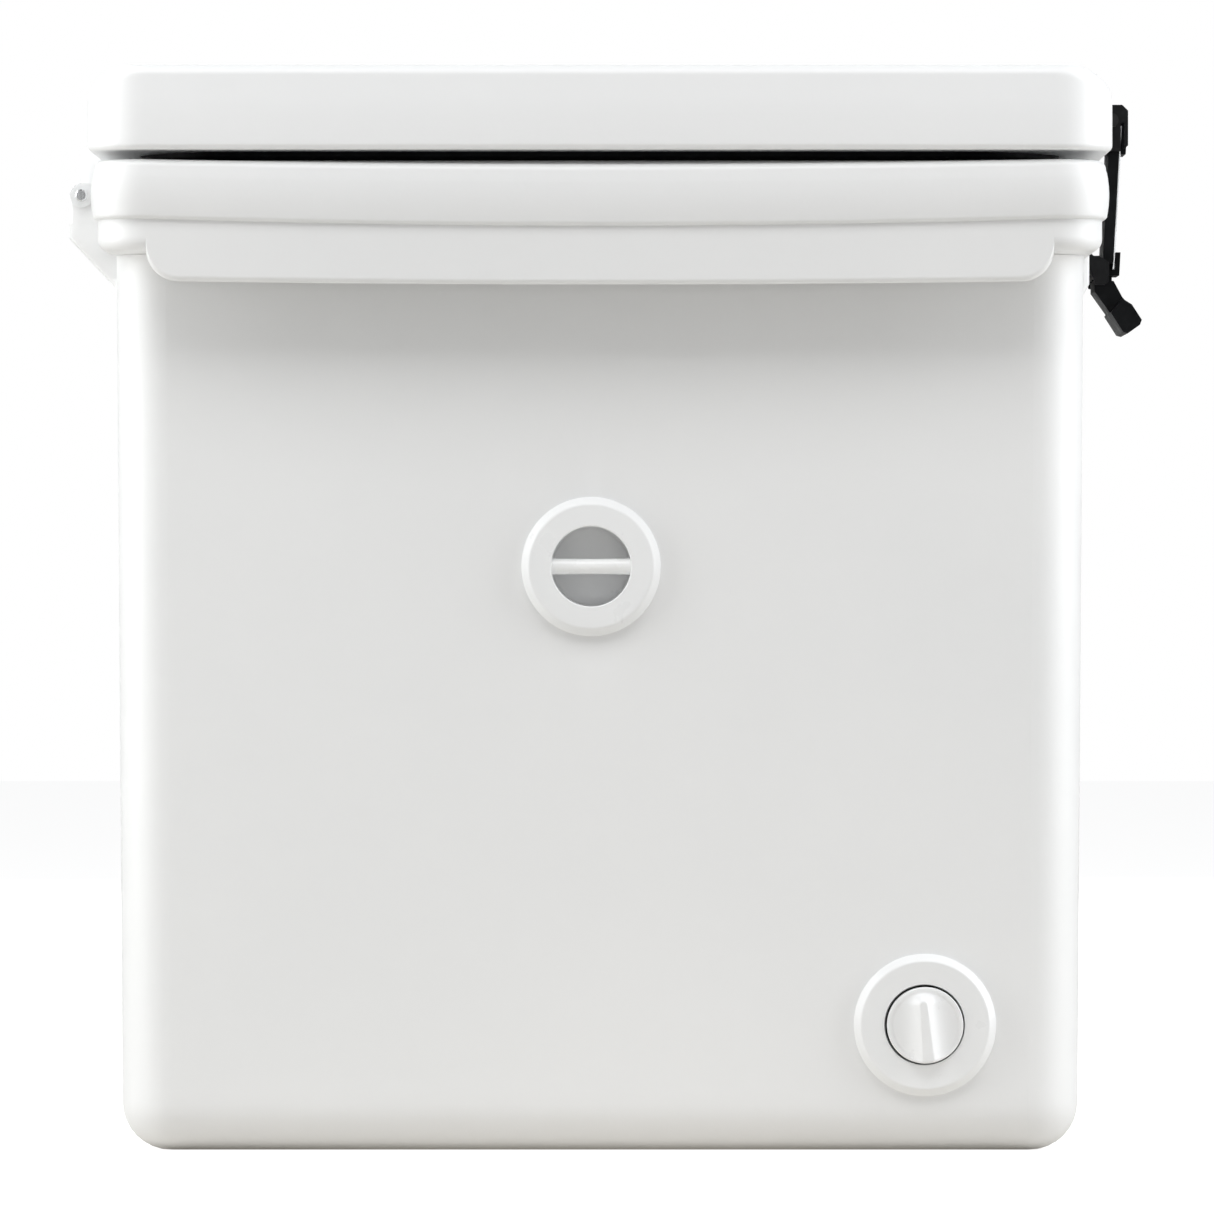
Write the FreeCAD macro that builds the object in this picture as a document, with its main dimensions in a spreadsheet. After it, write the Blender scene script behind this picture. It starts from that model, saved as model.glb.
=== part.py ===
import FreeCAD, Part
import math
import os
import re

import Sketcher

# Insulated cooler chest, millimetres.
# +Z up, +X towards the latches, -Y towards the end with the drain.
# The origin is the centre of the flat base that the chest rests on.

Vector = FreeCAD.Vector

DIMENSIONS = {
    # lid
    "lid_width": 513.0,
    "lid_length": 1000.0,
    "lid_corner": 28.0,
    "lid_bottom": 501.5,
    "lid_top": 545.0,
    "lid_edge_round": 12.0,
    "lid_skin": 4.5,
    "lid_side_skin": 7.5,
    "plug_step_width": 394.0,
    "plug_step_length": 826.0,
    "plug_step_corner": 30.0,
    "plug_step_bottom": 480.0,
    "plug_step_round": 6.0,
    # gasket in its groove under the lid
    "gasket_width": 465.0,
    "gasket_length": 952.0,
    "gasket_corner": 58.0,
    "gasket_thick": 14.0,
    "gasket_bottom": 497.25,
    "gasket_top": 507.3,
    "groove_gap": 0.3,
    # rim, band and walls of the chest
    "rim_width": 510.0,
    "rim_length": 997.0,
    "rim_corner": 27.0,
    "rim_top": 497.0,
    "rim_bottom": 467.5,
    "rim_round": 3.0,
    "band_width": 503.0,
    "band_length": 990.0,
    "band_corner": 25.0,
    "band_bottom": 451.5,
    "wall_width": 488.0,
    "wall_foot_width": 482.0,
    "wall_length": 924.0,
    "wall_corner": 26.0,
    "foot_round": 24.0,
    "straight_part": 30.0,
    # insulated tub
    "tub_width": 404.0,
    "tub_length": 836.0,
    "tub_corner": 34.0,
    "tub_floor": 50.0,
    "tub_floor_width": 392.0,
    "tub_floor_length": 824.0,
    "tub_floor_corner": 30.0,
    "tub_floor_round": 26.0,
    # foam space between the two skins
    "skin": 4.5,
    "foam_width": 473.0,
    "foam_length": 915.0,
    "foam_corner": 20.0,
    "foam_inner_width": 412.0,
    "foam_inner_length": 844.0,
    "foam_inner_corner": 38.0,
    "foam_base_width": 440.0,
    "foam_base_length": 882.0,
    "foam_base_top": 26.0,
    "foam_rim_width": 500.0,
    "foam_rim_length": 987.0,
    "foam_rim_bottom": 474.0,
    "foam_gap": 0.3,
    # moulded grip lip across each end
    "grip_width": 454.0,
    "grip_thick": 10.0,
    "grip_bottom": 436.0,
    "grip_corner": 15.0,
    "finger_width": 430.0,
    "finger_top": 470.0,
    "finger_corner": 8.0,
    # rear hinge: knuckles, arms and one long rod
    "hinge_back": 262.0,
    "hinge_height": 481.5,
    "knuckle_radius": 6.5,
    "knuckle_length": 92.0,
    "knuckle_pitch": 96.0,
    "knuckle_foot": 434.0,
    "knuckle_step": 460.0,
    "arm_top": 519.5,
    "arm_flare": 508.0,
    "arm_heel_out": 4.44,
    "arm_heel_down": 5.73,
    "rod_radius": 3.0,
    "rod_length": 872.0,
    "running_gap": 0.05,
    "clip_radius": 6.0,
    "clip_thick": 1.5,
    # rubber T latch: bracket, pin, strap, face plate and catch
    "latch_spacing": 580.0,
    "pin_out": 265.0,
    "pin_height": 526.0,
    "pin_radius": 2.2,
    "pin_head_radius": 3.6,
    "pin_head_thick": 1.5,
    "bracket_bottom": 510.0,
    "bracket_top": 534.0,
    "bracket_back": 2.8,
    "bracket_width": 74.0,
    "cheek_out": 273.6,
    "cheek_gap": 43.0,
    "cheek_thick": 5.0,
    "eye_radius": 5.3,
    "strap_width": 40.0,
    "strap_thick": 5.5,
    "strap_top_out": 270.2,
    "strap_low_out": 266.2,
    "plate_top": 524.0,
    "plate_low": 449.0,
    "plate_thick": 1.2,
    "plate_width": 25.0,
    "lip_thick": 2.4,
    "lip_width": 30.0,
    "top_lip_low": 509.0,
    "low_lip_top": 458.0,
    "neck_width": 16.0,
    "bulb_width": 40.0,
    "bulb_top": 443.0,
    "grip_bar_width": 64.0,
    "boss_out": 252.8,
    "boss_bottom": 440.5,
    "boss_top": 457.0,
    "boss_foot": 424.0,
    "boss_width": 80.0,
    "catch_width": 67.0,
    "catch_thick": 2.5,
    "cheek_rib": 2.5,
    "cheek_reach": 10.5,
    "prong_out": 263.6,
    "prong_bottom": 444.0,
    "prong_top": 449.0,
    "prong_width": 42.0,
    "slot_width": 18.0,
    # screws of the brackets and the catches
    "screw_radius": 2.5,
    "screw_head_radius": 4.2,
    "screw_head_thick": 2.4,
    "screw_length": 14.0,
    "screw_gap": 0.1,
    "bracket_screw_spacing": 62.6,
    "bracket_screw_height": 520.0,
    "catch_screw_spacing": 52.0,
    "catch_screw_height": 448.5,
    # round tie-down cup with a cross bar, one on each end
    "tie_side": -4.5,
    "tie_height": 294.0,
    "cup_flange_radius": 35.0,
    "cup_face_radius": 31.0,
    "cup_edge": 2.0,
    "cup_proud": 6.0,
    "cup_mouth_radius": 20.0,
    "cup_wall": 2.5,
    "cup_depth": 20.0,
    "bar_radius": 4.15,
    "bar_length": 43.8,
    "bar_depth": 1.0,
    # drain: housing with a threaded tube, inner nut, gasket, plug and seal
    "drain_side": 163.0,
    "drain_height": 64.0,
    "drain_flange_radius": 35.75,
    "drain_face_radius": 32.0,
    "drain_edge": 2.0,
    "drain_proud": 5.5,
    "drain_dish": 0.7,
    "drain_mouth_radius": 19.9,
    "drain_seat": 4.5,
    "drain_bore_radius": 13.5,
    "drain_tube_radius": 17.0,
    "drain_tube_length": 54.5,
    "drain_neck_radius": 23.0,
    "drain_neck_length": 7.5,
    "drain_gap": 0.1,
    "nut_radius": 25.0,
    "nut_thick": 6.0,
    "washer_radius": 24.0,
    "washer_thick": 1.5,
    "sump_width": 60.0,
    "sump_length": 44.0,
    "sump_floor": 36.0,
    "sump_wall": 46.0,
    "sump_corner": 5.0,
    "sump_skin": 5.0,
    "seal_radius": 19.55,
    "seal_bore": 13.8,
    "seal_thick": 1.9,
    "head_radius": 19.15,
    "head_face": 7.0,
    "head_dish": 1.2,
    "wing_thick": 5.5,
    "wing_length": 32.0,
    "wing_proud": 11.5,
    "wing_lean": 5.0,
    "stub_radius": 13.2,
    "stub_length": 26.0,
    # plugs of the foam filling holes
    "fill_side": 0.0,
    "fill_along": 300.0,
    "fill_radius": 15.0,
    "fill_gap": 0.1,
    "fill_recess": 0.8,
    "fill_web": 2.0,
}

doc = FreeCAD.newDocument("cooler_chest")
sheet = doc.addObject("Spreadsheet::Sheet", "sizes")
for row, (alias, number) in enumerate(DIMENSIONS.items(), start=1):
    sheet.set(f"A{row}", alias)
    sheet.set(f"B{row}", str(number))
    sheet.setAlias(f"B{row}", alias)
doc.recompute()


def bound(expression):
    """Names of the sheet's cells, written out the way an expression reads them."""
    return re.sub(r"\b[a-z][a-z_]+", lambda word: "sizes." + word.group(0), expression)


def number(expression):
    value = sheet.evalExpression(bound(expression))
    return float(getattr(value, "Value", value))


def bind(thing, **expressions):
    for name, expression in expressions.items():
        thing.setExpression(name, bound(expression))


def new_body(name):
    body = doc.addObject("PartDesign::Body", name)
    body.Label = name
    return body


def origin_feature(body, role):
    return next(item for item in body.Origin.OriginFeatures if item.Role == role)


def new_sketch(body, name, role, x="0", y="0", z="0"):
    """A sketch on one of the body's origin planes; its own origin is moved by x, y and z.

    On XZ_Plane the sketch's normal is -Y; on YZ_Plane its own x is Y, its y is Z, its normal +X.
    """
    sketch = body.newObject("Sketcher::SketchObject", name)
    sketch.AttachmentSupport = [(origin_feature(body, role), "")]
    sketch.MapMode = "FlatFace"
    for axis, expression in zip("xyz", (x, y, z)):
        sketch.setExpression(f"AttachmentOffset.Base.{axis}", bound(expression))
    return sketch


def pin_down(sketch, kind, geometry, point, expression):
    """Fix one point of the sketch at a bound distance from the sketch's origin."""
    index = sketch.addConstraint(
        Sketcher.Constraint(kind, -1, 1, geometry, point, number(expression))
    )
    sketch.setExpression(f"Constraints[{index}]", bound(expression))


def add_outline(sketch, points):
    """A closed outline of straight sides through points given as pairs of expressions."""
    corners = [Vector(number(x), number(y), 0) for x, y in points]
    first = sketch.GeometryCount
    count = len(corners)
    for i in range(count):
        sketch.addGeometry(Part.LineSegment(corners[i], corners[(i + 1) % count]))
    for i in range(count):
        after = first + (i + 1) % count
        sketch.addConstraint(Sketcher.Constraint("Coincident", first + i, 2, after, 1))
    for i, (x, y) in enumerate(points):
        pin_down(sketch, "DistanceX", first + i, 1, x)
        pin_down(sketch, "DistanceY", first + i, 1, y)
    return sketch


def add_circle(sketch, radius, x="0", y="0"):
    centre = Vector(number(x), number(y), 0)
    index = sketch.addGeometry(Part.Circle(centre, Vector(0, 0, 1), number(radius)))
    row = sketch.addConstraint(Sketcher.Constraint("Radius", index, number(radius)))
    sketch.setExpression(f"Constraints[{row}]", bound(radius))
    pin_down(sketch, "DistanceX", index, 3, x)
    pin_down(sketch, "DistanceY", index, 3, y)
    return sketch


def add_rounded(sketch, low_x, high_x, low_y, high_y, corner):
    """A rectangle with four equal round corners, its sides given as expressions."""
    x0, x1, y0, y1, r = (number(item) for item in (low_x, high_x, low_y, high_y, corner))
    first = sketch.GeometryCount
    sides = [
        ((x0 + r, y0), (x1 - r, y0)),
        ((x1, y0 + r), (x1, y1 - r)),
        ((x1 - r, y1), (x0 + r, y1)),
        ((x0, y1 - r), (x0, y0 + r)),
    ]
    centres = [(x1 - r, y0 + r), (x1 - r, y1 - r), (x0 + r, y1 - r), (x0 + r, y0 + r)]
    quarter = math.pi / 2
    for start, end in sides:
        sketch.addGeometry(Part.LineSegment(Vector(*start, 0), Vector(*end, 0)))
    for i, centre in enumerate(centres):
        circle = Part.Circle(Vector(*centre, 0), Vector(0, 0, 1), r)
        sketch.addGeometry(Part.ArcOfCircle(circle, (i - 1) * quarter, i * quarter))
    for i in range(4):
        arc = first + 4 + i
        after = first + (i + 1) % 4
        direction = "Vertical" if i % 2 else "Horizontal"
        sketch.addConstraint(Sketcher.Constraint(direction, first + i))
        sketch.addConstraint(Sketcher.Constraint("Tangent", first + i, 2, arc, 1))
        sketch.addConstraint(Sketcher.Constraint("Tangent", arc, 2, after, 1))
        if i:
            sketch.addConstraint(Sketcher.Constraint("Equal", first + 4, arc))
    row = sketch.addConstraint(Sketcher.Constraint("Radius", first + 4, r))
    sketch.setExpression(f"Constraints[{row}]", bound(corner))
    pin_down(sketch, "DistanceY", first, 1, low_y)
    pin_down(sketch, "DistanceX", first + 1, 1, high_x)
    pin_down(sketch, "DistanceY", first + 2, 1, high_y)
    pin_down(sketch, "DistanceX", first + 3, 1, low_x)
    return sketch


def add_centred(sketch, width, length, corner):
    return add_rounded(
        sketch, f"-({width}) / 2", f"({width}) / 2", f"-({length}) / 2", f"({length}) / 2", corner
    )


def extrude(body, sketch, kind, length, middle=False, backwards=False):
    """A Pad or a Pocket of the sketch, with the change in volume compared with what it should be."""
    doc.recompute()
    before = body.Shape.Volume if body.Tip else 0.0
    feature = body.newObject(f"PartDesign::{kind}", f"{kind.lower()}_{sketch.Name}")
    feature.Profile = sketch
    feature.Midplane = middle
    feature.Reversed = backwards
    bind(feature, Length=length)
    sketch.Visibility = False
    doc.recompute()
    change = body.Shape.Volume - before
    if (change > 0) != (kind == "Pad") or abs(change) < 1e-3:
        raise RuntimeError(f"{feature.Name} changed the volume by {change:.3f}")
    return feature


def pad(body, sketch, length, **options):
    return extrude(body, sketch, "Pad", length, **options)


def pocket(body, sketch, length, **options):
    return extrude(body, sketch, "Pocket", length, **options)


def turn(body, sketch, axis):
    feature = body.newObject("PartDesign::Revolution", f"turn_{sketch.Name}")
    feature.Profile = sketch
    feature.ReferenceAxis = (sketch, [axis])
    feature.Angle = 360.0
    doc.recompute()
    return feature


def loft(body, kind, lower, upper):
    feature = body.newObject(f"PartDesign::{kind}", f"loft_{lower.Name}")
    feature.Profile = lower
    feature.Sections = [upper]
    doc.recompute()
    return feature


def fillet(body, name, radius, test):
    """Round the edges of the tip whose boxes pass the test."""
    base = body.Tip
    names = [
        f"Edge{i}" for i, edge in enumerate(base.Shape.Edges, start=1) if test(edge.BoundBox)
    ]
    feature = body.newObject("PartDesign::Fillet", name)
    feature.Base = (base, names)
    bind(feature, Radius=radius)
    doc.recompute()
    return feature


def repeat_along(body, features, count, pitch):
    """Copies of features along +Y."""
    pattern = body.newObject("PartDesign::LinearPattern", f"row_of_{features[0].Name}")
    pattern.Originals = features
    pattern.Direction = (origin_feature(body, "Y_Axis"), [""])
    pattern.Occurrences = count
    bind(pattern, Length=f"({pitch}) * {count - 1}")
    body.Tip = pattern
    doc.recompute()
    return pattern


def place(body, x="0", y="0", z="0", turned=0.0):
    """Set the body's place; turned is its angle about +Z."""
    body.Placement = FreeCAD.Placement(Vector(0, 0, 0), FreeCAD.Rotation(Vector(0, 0, 1), turned))
    for axis, expression in zip("xyz", (x, y, z)):
        body.setExpression(f"Placement.Base.{axis}", bound(expression))


def level_at(height):
    """True for an edge that lies flat at this height."""
    level = number(height)
    return lambda box: abs(box.ZMin - level) < 0.01 and abs(box.ZMax - level) < 0.01


ENDS = {"left": -1, "right": 1}


def latch_centre(side):
    return f"{ENDS[side]} * latch_spacing / 2"


def side_sketch(body, name, centre="0"):
    """A sketch that looks along Y, in the plane where Y is the given expression."""
    return new_sketch(body, name, "XZ_Plane", z=f"-({centre})")


# Double-walled chest, moulded in one piece with its rim, grips, bosses and knuckles


def add_foam_space(body, kind, gap):
    """The space between the two skins: base, floor, ring of walls and ring under the rim."""
    inner = f"foam_inner_width + 2 * {gap}", f"foam_inner_length + 2 * {gap}"
    inner_corner = f"foam_inner_corner + {gap}"
    outer = f"foam_width - 2 * {gap}", f"foam_length - 2 * {gap}"
    floor_top = "tub_floor - skin"
    base = new_sketch(body, "foam_base", "XY_Plane", z=f"skin + {gap}")
    add_centred(base, f"foam_base_width - 2 * {gap}", f"foam_base_length - 2 * {gap}", "foam_corner")
    extrude(body, base, kind, f"foam_base_top - skin - {gap}", backwards=kind == "Pocket")
    floor = new_sketch(body, "foam_floor", "XY_Plane", z="foam_base_top")
    add_centred(floor, *outer, "foam_corner")
    extrude(body, floor, kind, f"{floor_top} - foam_base_top - {gap}", backwards=kind == "Pocket")
    ring = new_sketch(body, "foam_ring", "XY_Plane", z=f"{floor_top} - {gap}")
    add_centred(ring, *outer, "foam_corner")
    add_centred(ring, *inner, inner_corner)
    extrude(body, ring, kind, f"rim_top - skin - ({floor_top})", backwards=kind == "Pocket")
    rim = new_sketch(body, "foam_rim", "XY_Plane", z=f"foam_rim_bottom + {gap}")
    add_centred(rim, f"foam_rim_width - 2 * {gap}", f"foam_rim_length - 2 * {gap}", "foam_corner")
    add_centred(rim, *inner, inner_corner)
    extrude(body, rim, kind, f"rim_top - skin - foam_rim_bottom - 2 * {gap}", backwards=kind == "Pocket")


def add_sump_block(body, kind, gap):
    """The thick corner of the floor that holds the sump in front of the drain."""
    block = new_sketch(body, "sump_block", "XY_Plane", z=f"sump_floor - sump_skin - {gap}")
    add_outline(block, [
        (f"drain_side - sump_width / 2 - sump_skin - {gap}", f"-foam_inner_length / 2 - 1 - {gap}"),
        (f"drain_side + sump_width / 2 + sump_skin + {gap}", f"-foam_inner_length / 2 - 1 - {gap}"),
        (f"drain_side + sump_width / 2 + sump_skin + {gap}",
         f"sump_wall - wall_length / 2 + sump_length + sump_skin + {gap}"),
        (f"drain_side - sump_width / 2 - sump_skin - {gap}",
         f"sump_wall - wall_length / 2 + sump_length + sump_skin + {gap}"),
    ])
    extrude(body, block, kind, f"tub_floor - sump_floor + sump_skin - skin + {gap} + 1",
            backwards=kind == "Pocket")


def make_body_shell():
    body = new_body("body_shell")
    foot = new_sketch(body, "foot", "XY_Plane")
    add_centred(foot, "wall_foot_width", "wall_length", "wall_corner")
    pad(body, foot, "straight_part")
    fillet(body, "foot_edge", "foot_round", level_at("0"))
    ankle = new_sketch(body, "ankle", "XY_Plane", z="straight_part")
    add_centred(ankle, "wall_foot_width", "wall_length", "wall_corner")
    shoulder = new_sketch(body, "shoulder", "XY_Plane", z="knuckle_step")
    add_centred(shoulder, "wall_width", "wall_length", "wall_corner")
    loft(body, "AdditiveLoft", ankle, shoulder)
    band = new_sketch(body, "band", "XY_Plane", z="band_bottom")
    pad(body, add_centred(band, "band_width", "band_length", "band_corner"), "rim_bottom - band_bottom")
    rim = new_sketch(body, "rim", "XY_Plane", z="rim_bottom")
    pad(body, add_centred(rim, "rim_width", "rim_length", "rim_corner"), "rim_top - rim_bottom")
    fillet(body, "rim_edge", "rim_round", level_at("rim_top"))
    for side, sign in ENDS.items():
        add_grip(body, side, sign)
        add_catch_boss(body, side)
    add_body_knuckles(body)
    tub_floor = new_sketch(body, "tub_bottom", "XY_Plane", z="tub_floor")
    add_centred(tub_floor, "tub_floor_width", "tub_floor_length", "tub_floor_corner")
    pocket(body, tub_floor, "straight_part", backwards=True)
    fillet(body, "tub_floor_edge", "tub_floor_round", level_at("tub_floor"))
    tub_knee = new_sketch(body, "tub_knee", "XY_Plane", z="tub_floor + straight_part")
    add_centred(tub_knee, "tub_floor_width", "tub_floor_length", "tub_floor_corner")
    tub_top = new_sketch(body, "tub_mouth", "XY_Plane", z="rim_top")
    add_centred(tub_top, "tub_width", "tub_length", "tub_corner")
    loft(body, "SubtractiveLoft", tub_knee, tub_top)
    add_foam_space(body, "Pocket", "0")
    add_sump_block(body, "Pad", "0")
    sump = new_sketch(body, "sump", "XY_Plane", z="sump_floor")
    add_rounded(sump, "drain_side - sump_width / 2", "drain_side + sump_width / 2",
                "sump_wall - wall_length / 2", "sump_wall - wall_length / 2 + sump_length", "sump_corner")
    pocket(body, sump, "sump_width", backwards=True)
    cut_body_holes(body)
    return body


def add_grip(body, side, sign):
    """A lip across the end wall, with room for fingers behind it."""
    outer = f"{sign} * (band_length / 2 - grip_thick / 2)"
    lip = side_sketch(body, f"grip_{side}", outer)
    add_rounded(lip, "-grip_width / 2", "grip_width / 2", "grip_bottom", "finger_top", "grip_corner")
    pad(body, lip, "grip_thick", middle=True)
    near, far = "wall_length / 2", "band_length / 2 - grip_thick"
    low, high = (f"-({far})", f"-({near})") if sign < 0 else (near, far)
    fingers = new_sketch(body, f"fingers_{side}", "XY_Plane", z="finger_top")
    add_rounded(fingers, "-finger_width / 2", "finger_width / 2", low, high, "finger_corner")
    pocket(body, fingers, "finger_top - grip_bottom")


def add_catch_boss(body, side):
    boss = side_sketch(body, f"boss_{side}", latch_centre(side))
    add_outline(boss, [
        ("boss_out - 20", "boss_foot"),
        ("wall_width / 2 - 1", "boss_foot"),
        ("boss_out", "boss_bottom"),
        ("boss_out", "boss_top"),
        ("boss_out - 20", "boss_top"),
    ])
    pad(body, boss, "boss_width", middle=True)


def add_body_knuckles(body):
    """Blocks on the rear wall, from the rod down to the wall; every second place along the rod."""
    first = "-4 * knuckle_pitch"
    web = side_sketch(body, "knuckle_web", first)
    add_outline(web, [
        ("-rim_width / 2 + 5", "hinge_height + knuckle_radius"),
        ("-hinge_back", "hinge_height + knuckle_radius"),
        ("-hinge_back - knuckle_radius", "hinge_height"),
        ("-hinge_back - knuckle_radius", "knuckle_step"),
        ("-wall_width / 2", "knuckle_foot"),
        ("-wall_width / 2 + 6", "knuckle_foot"),
        ("-rim_width / 2 + 5", "rim_bottom"),
    ])
    eye = side_sketch(body, "knuckle_eye", first)
    add_circle(eye, "knuckle_radius", "-hinge_back", "hinge_height")
    features = [pad(body, sketch, "knuckle_length", middle=True) for sketch in (web, eye)]
    repeat_along(body, features, 5, "2 * knuckle_pitch")


def cut_rod_hole(body):
    hole = side_sketch(body, "rod_hole")
    add_circle(hole, "rod_radius + running_gap", "-hinge_back", "hinge_height")
    pocket(body, hole, "rod_length", middle=True)


def cut_end_holes(body, gap):
    """Round holes in the end walls for the tie-down cups, as deep as the cups."""
    for side, sign in ENDS.items():
        depth = "(cup_depth + cup_wall + 1)"
        hole = side_sketch(body, f"cup_hole_{side}", f"{sign} * (wall_length - {depth}) / 2")
        add_circle(hole, f"cup_mouth_radius + cup_wall + 0.2 + {gap}", "tie_side", "tie_height")
        pocket(body, hole, depth, middle=True)


def cut_drain_hole(body, gap):
    """A hole for the drain's tube through both skins, wider near the outside for its neck."""
    for name, radius, depth in (
        ("tube", "drain_tube_radius", "sump_wall + 5"),
        ("neck", "drain_neck_radius", "drain_neck_length + 1"),
    ):
        hole = side_sketch(body, f"drain_{name}_hole", "-wall_length / 2")
        add_circle(hole, f"{radius} + drain_gap + {gap}", "drain_side", "drain_height")
        pocket(body, hole, f"2 * ({depth})", middle=True)


def cut_body_holes(body):
    cut_rod_hole(body)
    cut_end_holes(body, "0")
    cut_drain_hole(body, "0")
    fill = new_sketch(body, "fill_hole", "XY_Plane", z="skin + 0.5")
    pocket(body, add_circle(fill, "fill_radius", "fill_side", "fill_along"), "skin + 0.5")
    screws = new_sketch(body, "catch_screw_holes", "YZ_Plane", z="boss_out")
    for side in ENDS:
        for hand in (-1, 1):
            add_circle(screws, "screw_radius + screw_gap",
                       f"{latch_centre(side)} + {hand} * catch_screw_spacing / 2", "catch_screw_height")
    pocket(body, screws, "screw_length - catch_thick + 1")


def make_body_foam():
    body = new_body("body_foam")
    add_foam_space(body, "Pad", "foam_gap")
    add_sump_block(body, "Pocket", "foam_gap")
    cut_end_holes(body, "0.3")
    cut_drain_hole(body, "0.3")
    return body


# Lid, moulded in one piece with its insulated step and hinge arms


def make_lid_shell():
    body = new_body("lid_shell")
    top = new_sketch(body, "lid_outline", "XY_Plane", z="lid_bottom")
    pad(body, add_centred(top, "lid_width", "lid_length", "lid_corner"), "lid_top - lid_bottom")
    fillet(body, "lid_edge", "lid_edge_round", level_at("lid_top"))
    step = new_sketch(body, "step_outline", "XY_Plane", z="plug_step_bottom")
    add_centred(step, "plug_step_width", "plug_step_length", "plug_step_corner")
    pad(body, step, "lid_bottom - plug_step_bottom")
    fillet(body, "step_edge", "plug_step_round", level_at("plug_step_bottom"))
    add_lid_arms(body)
    groove = new_sketch(body, "groove", "XY_Plane", z="lid_bottom")
    add_gasket_ring(groove, "groove_gap")
    pocket(body, groove, "gasket_top + groove_gap - lid_bottom", backwards=True)
    add_lid_space(body, "Pocket", "0")
    cut_rod_hole(body)
    fill = new_sketch(body, "lid_fill_hole", "XY_Plane", z="plug_step_bottom + lid_skin + 0.5")
    pocket(body, add_circle(fill, "fill_radius", "fill_side", "fill_along"), "lid_skin + 0.5")
    cut_bracket_screw_holes(body, "screw_gap")
    return body


def add_lid_arms(body):
    """Arms on the lid's rear side that reach down round the rod, with a heel that stops the lid."""
    first = "-3 * knuckle_pitch"
    arm = side_sketch(body, "lid_arm", first)
    add_outline(arm, [
        ("-lid_width / 2 + 4", "arm_top"),
        ("-lid_width / 2", "arm_top"),
        ("-hinge_back - knuckle_radius", "arm_flare"),
        ("-hinge_back - knuckle_radius", "hinge_height"),
        ("-hinge_back - arm_heel_out", "hinge_height - arm_heel_down"),
        ("-hinge_back", "hinge_height - knuckle_radius"),
        ("-hinge_back + knuckle_radius", "hinge_height"),
        ("-hinge_back + knuckle_radius", "lid_bottom + 1"),
        ("-lid_width / 2 + 4", "lid_bottom + 1"),
    ])
    eye = side_sketch(body, "arm_eye", first)
    add_circle(eye, "knuckle_radius", "-hinge_back", "hinge_height")
    features = [pad(body, sketch, "knuckle_length", middle=True) for sketch in (arm, eye)]
    repeat_along(body, features, 4, "2 * knuckle_pitch")


def add_lid_space(body, kind, gap):
    """The foam space of the lid: the step below and the wide plate above."""
    step = new_sketch(body, "step_space", "XY_Plane", z=f"plug_step_bottom + lid_skin + {gap}")
    add_centred(step, f"plug_step_width - 2 * (lid_skin + {gap})",
                f"plug_step_length - 2 * (lid_skin + {gap})", f"plug_step_corner - lid_skin")
    extrude(body, step, kind, "gasket_top - plug_step_bottom", backwards=kind == "Pocket")
    plate = new_sketch(body, "plate_space", "XY_Plane", z=f"gasket_top + lid_skin + {gap}")
    add_centred(plate, f"lid_width - 2 * (lid_side_skin + {gap})",
                f"lid_length - 2 * (lid_side_skin + {gap})", "foam_corner")
    extrude(body, plate, kind, f"lid_top - gasket_top - 2 * (lid_skin + {gap})",
            backwards=kind == "Pocket")


def cut_bracket_screw_holes(body, gap):
    screws = new_sketch(body, "bracket_screw_holes", "YZ_Plane", z="lid_width / 2")
    for side in ENDS:
        for hand in (-1, 1):
            add_circle(screws, f"screw_radius + {gap}",
                       f"{latch_centre(side)} + {hand} * bracket_screw_spacing / 2",
                       "bracket_screw_height")
    pocket(body, screws, "screw_length + 1")


def make_lid_foam():
    body = new_body("lid_foam")
    add_lid_space(body, "Pad", "foam_gap")
    cut_bracket_screw_holes(body, "0.5")
    return body


def add_gasket_ring(sketch, gap):
    add_centred(sketch, f"gasket_width + 2 * {gap}", f"gasket_length + 2 * {gap}",
                f"gasket_corner + {gap}")
    inner = f"2 * (gasket_thick + {gap})"
    add_centred(sketch, f"gasket_width - {inner}", f"gasket_length - {inner}",
                f"gasket_corner - gasket_thick - {gap}")


def make_lid_gasket():
    body = new_body("lid_gasket")
    ring = new_sketch(body, "gasket_ring", "XY_Plane", z="gasket_bottom")
    add_gasket_ring(ring, "0")
    pad(body, ring, "gasket_top - gasket_bottom")
    return body


def make_fill_plug(name, height, skin):
    """A push-in disc with a thinner middle, flush in its filling hole."""
    body = new_body(name)
    profile = new_sketch(body, f"{name}_profile", "XZ_Plane")
    add_outline(profile, [
        ("0", "fill_recess"),
        ("fill_radius - fill_gap", "fill_recess"),
        ("fill_radius - fill_gap", skin),
        ("fill_radius - 3", skin),
        ("fill_radius - 3", "fill_recess + fill_web"),
        ("0", "fill_recess + fill_web"),
    ])
    turn(body, profile, "V_Axis")
    place(body, "fill_side", "fill_along", height)
    return body


# Rear hinge


def make_hinge_rod():
    body = new_body("hinge_rod")
    rod = side_sketch(body, "rod_section")
    add_circle(rod, "rod_radius", "-hinge_back", "hinge_height")
    pad(body, rod, "rod_length", middle=True)
    return body


def make_hinge_clips():
    """Two push-on washers that keep the rod from sliding out."""
    solids = []
    for sign in ENDS.values():
        middle = sign * (number("4 * knuckle_pitch + knuckle_length / 2 + clip_thick / 2") + 0.3)
        start = Vector(-number("hinge_back"), middle - number("clip_thick") / 2, number("hinge_height"))
        ring = Part.makeCylinder(number("clip_radius"), number("clip_thick"), start, Vector(0, 1, 0))
        hole = Part.makeCylinder(number("rod_radius"), number("clip_thick"), start, Vector(0, 1, 0))
        solids.append(ring.cut(hole))
    clips = doc.addObject("Part::Feature", "hinge_rod_clips")
    clips.Shape = Part.makeCompound(solids)
    return clips


# Latches


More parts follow.
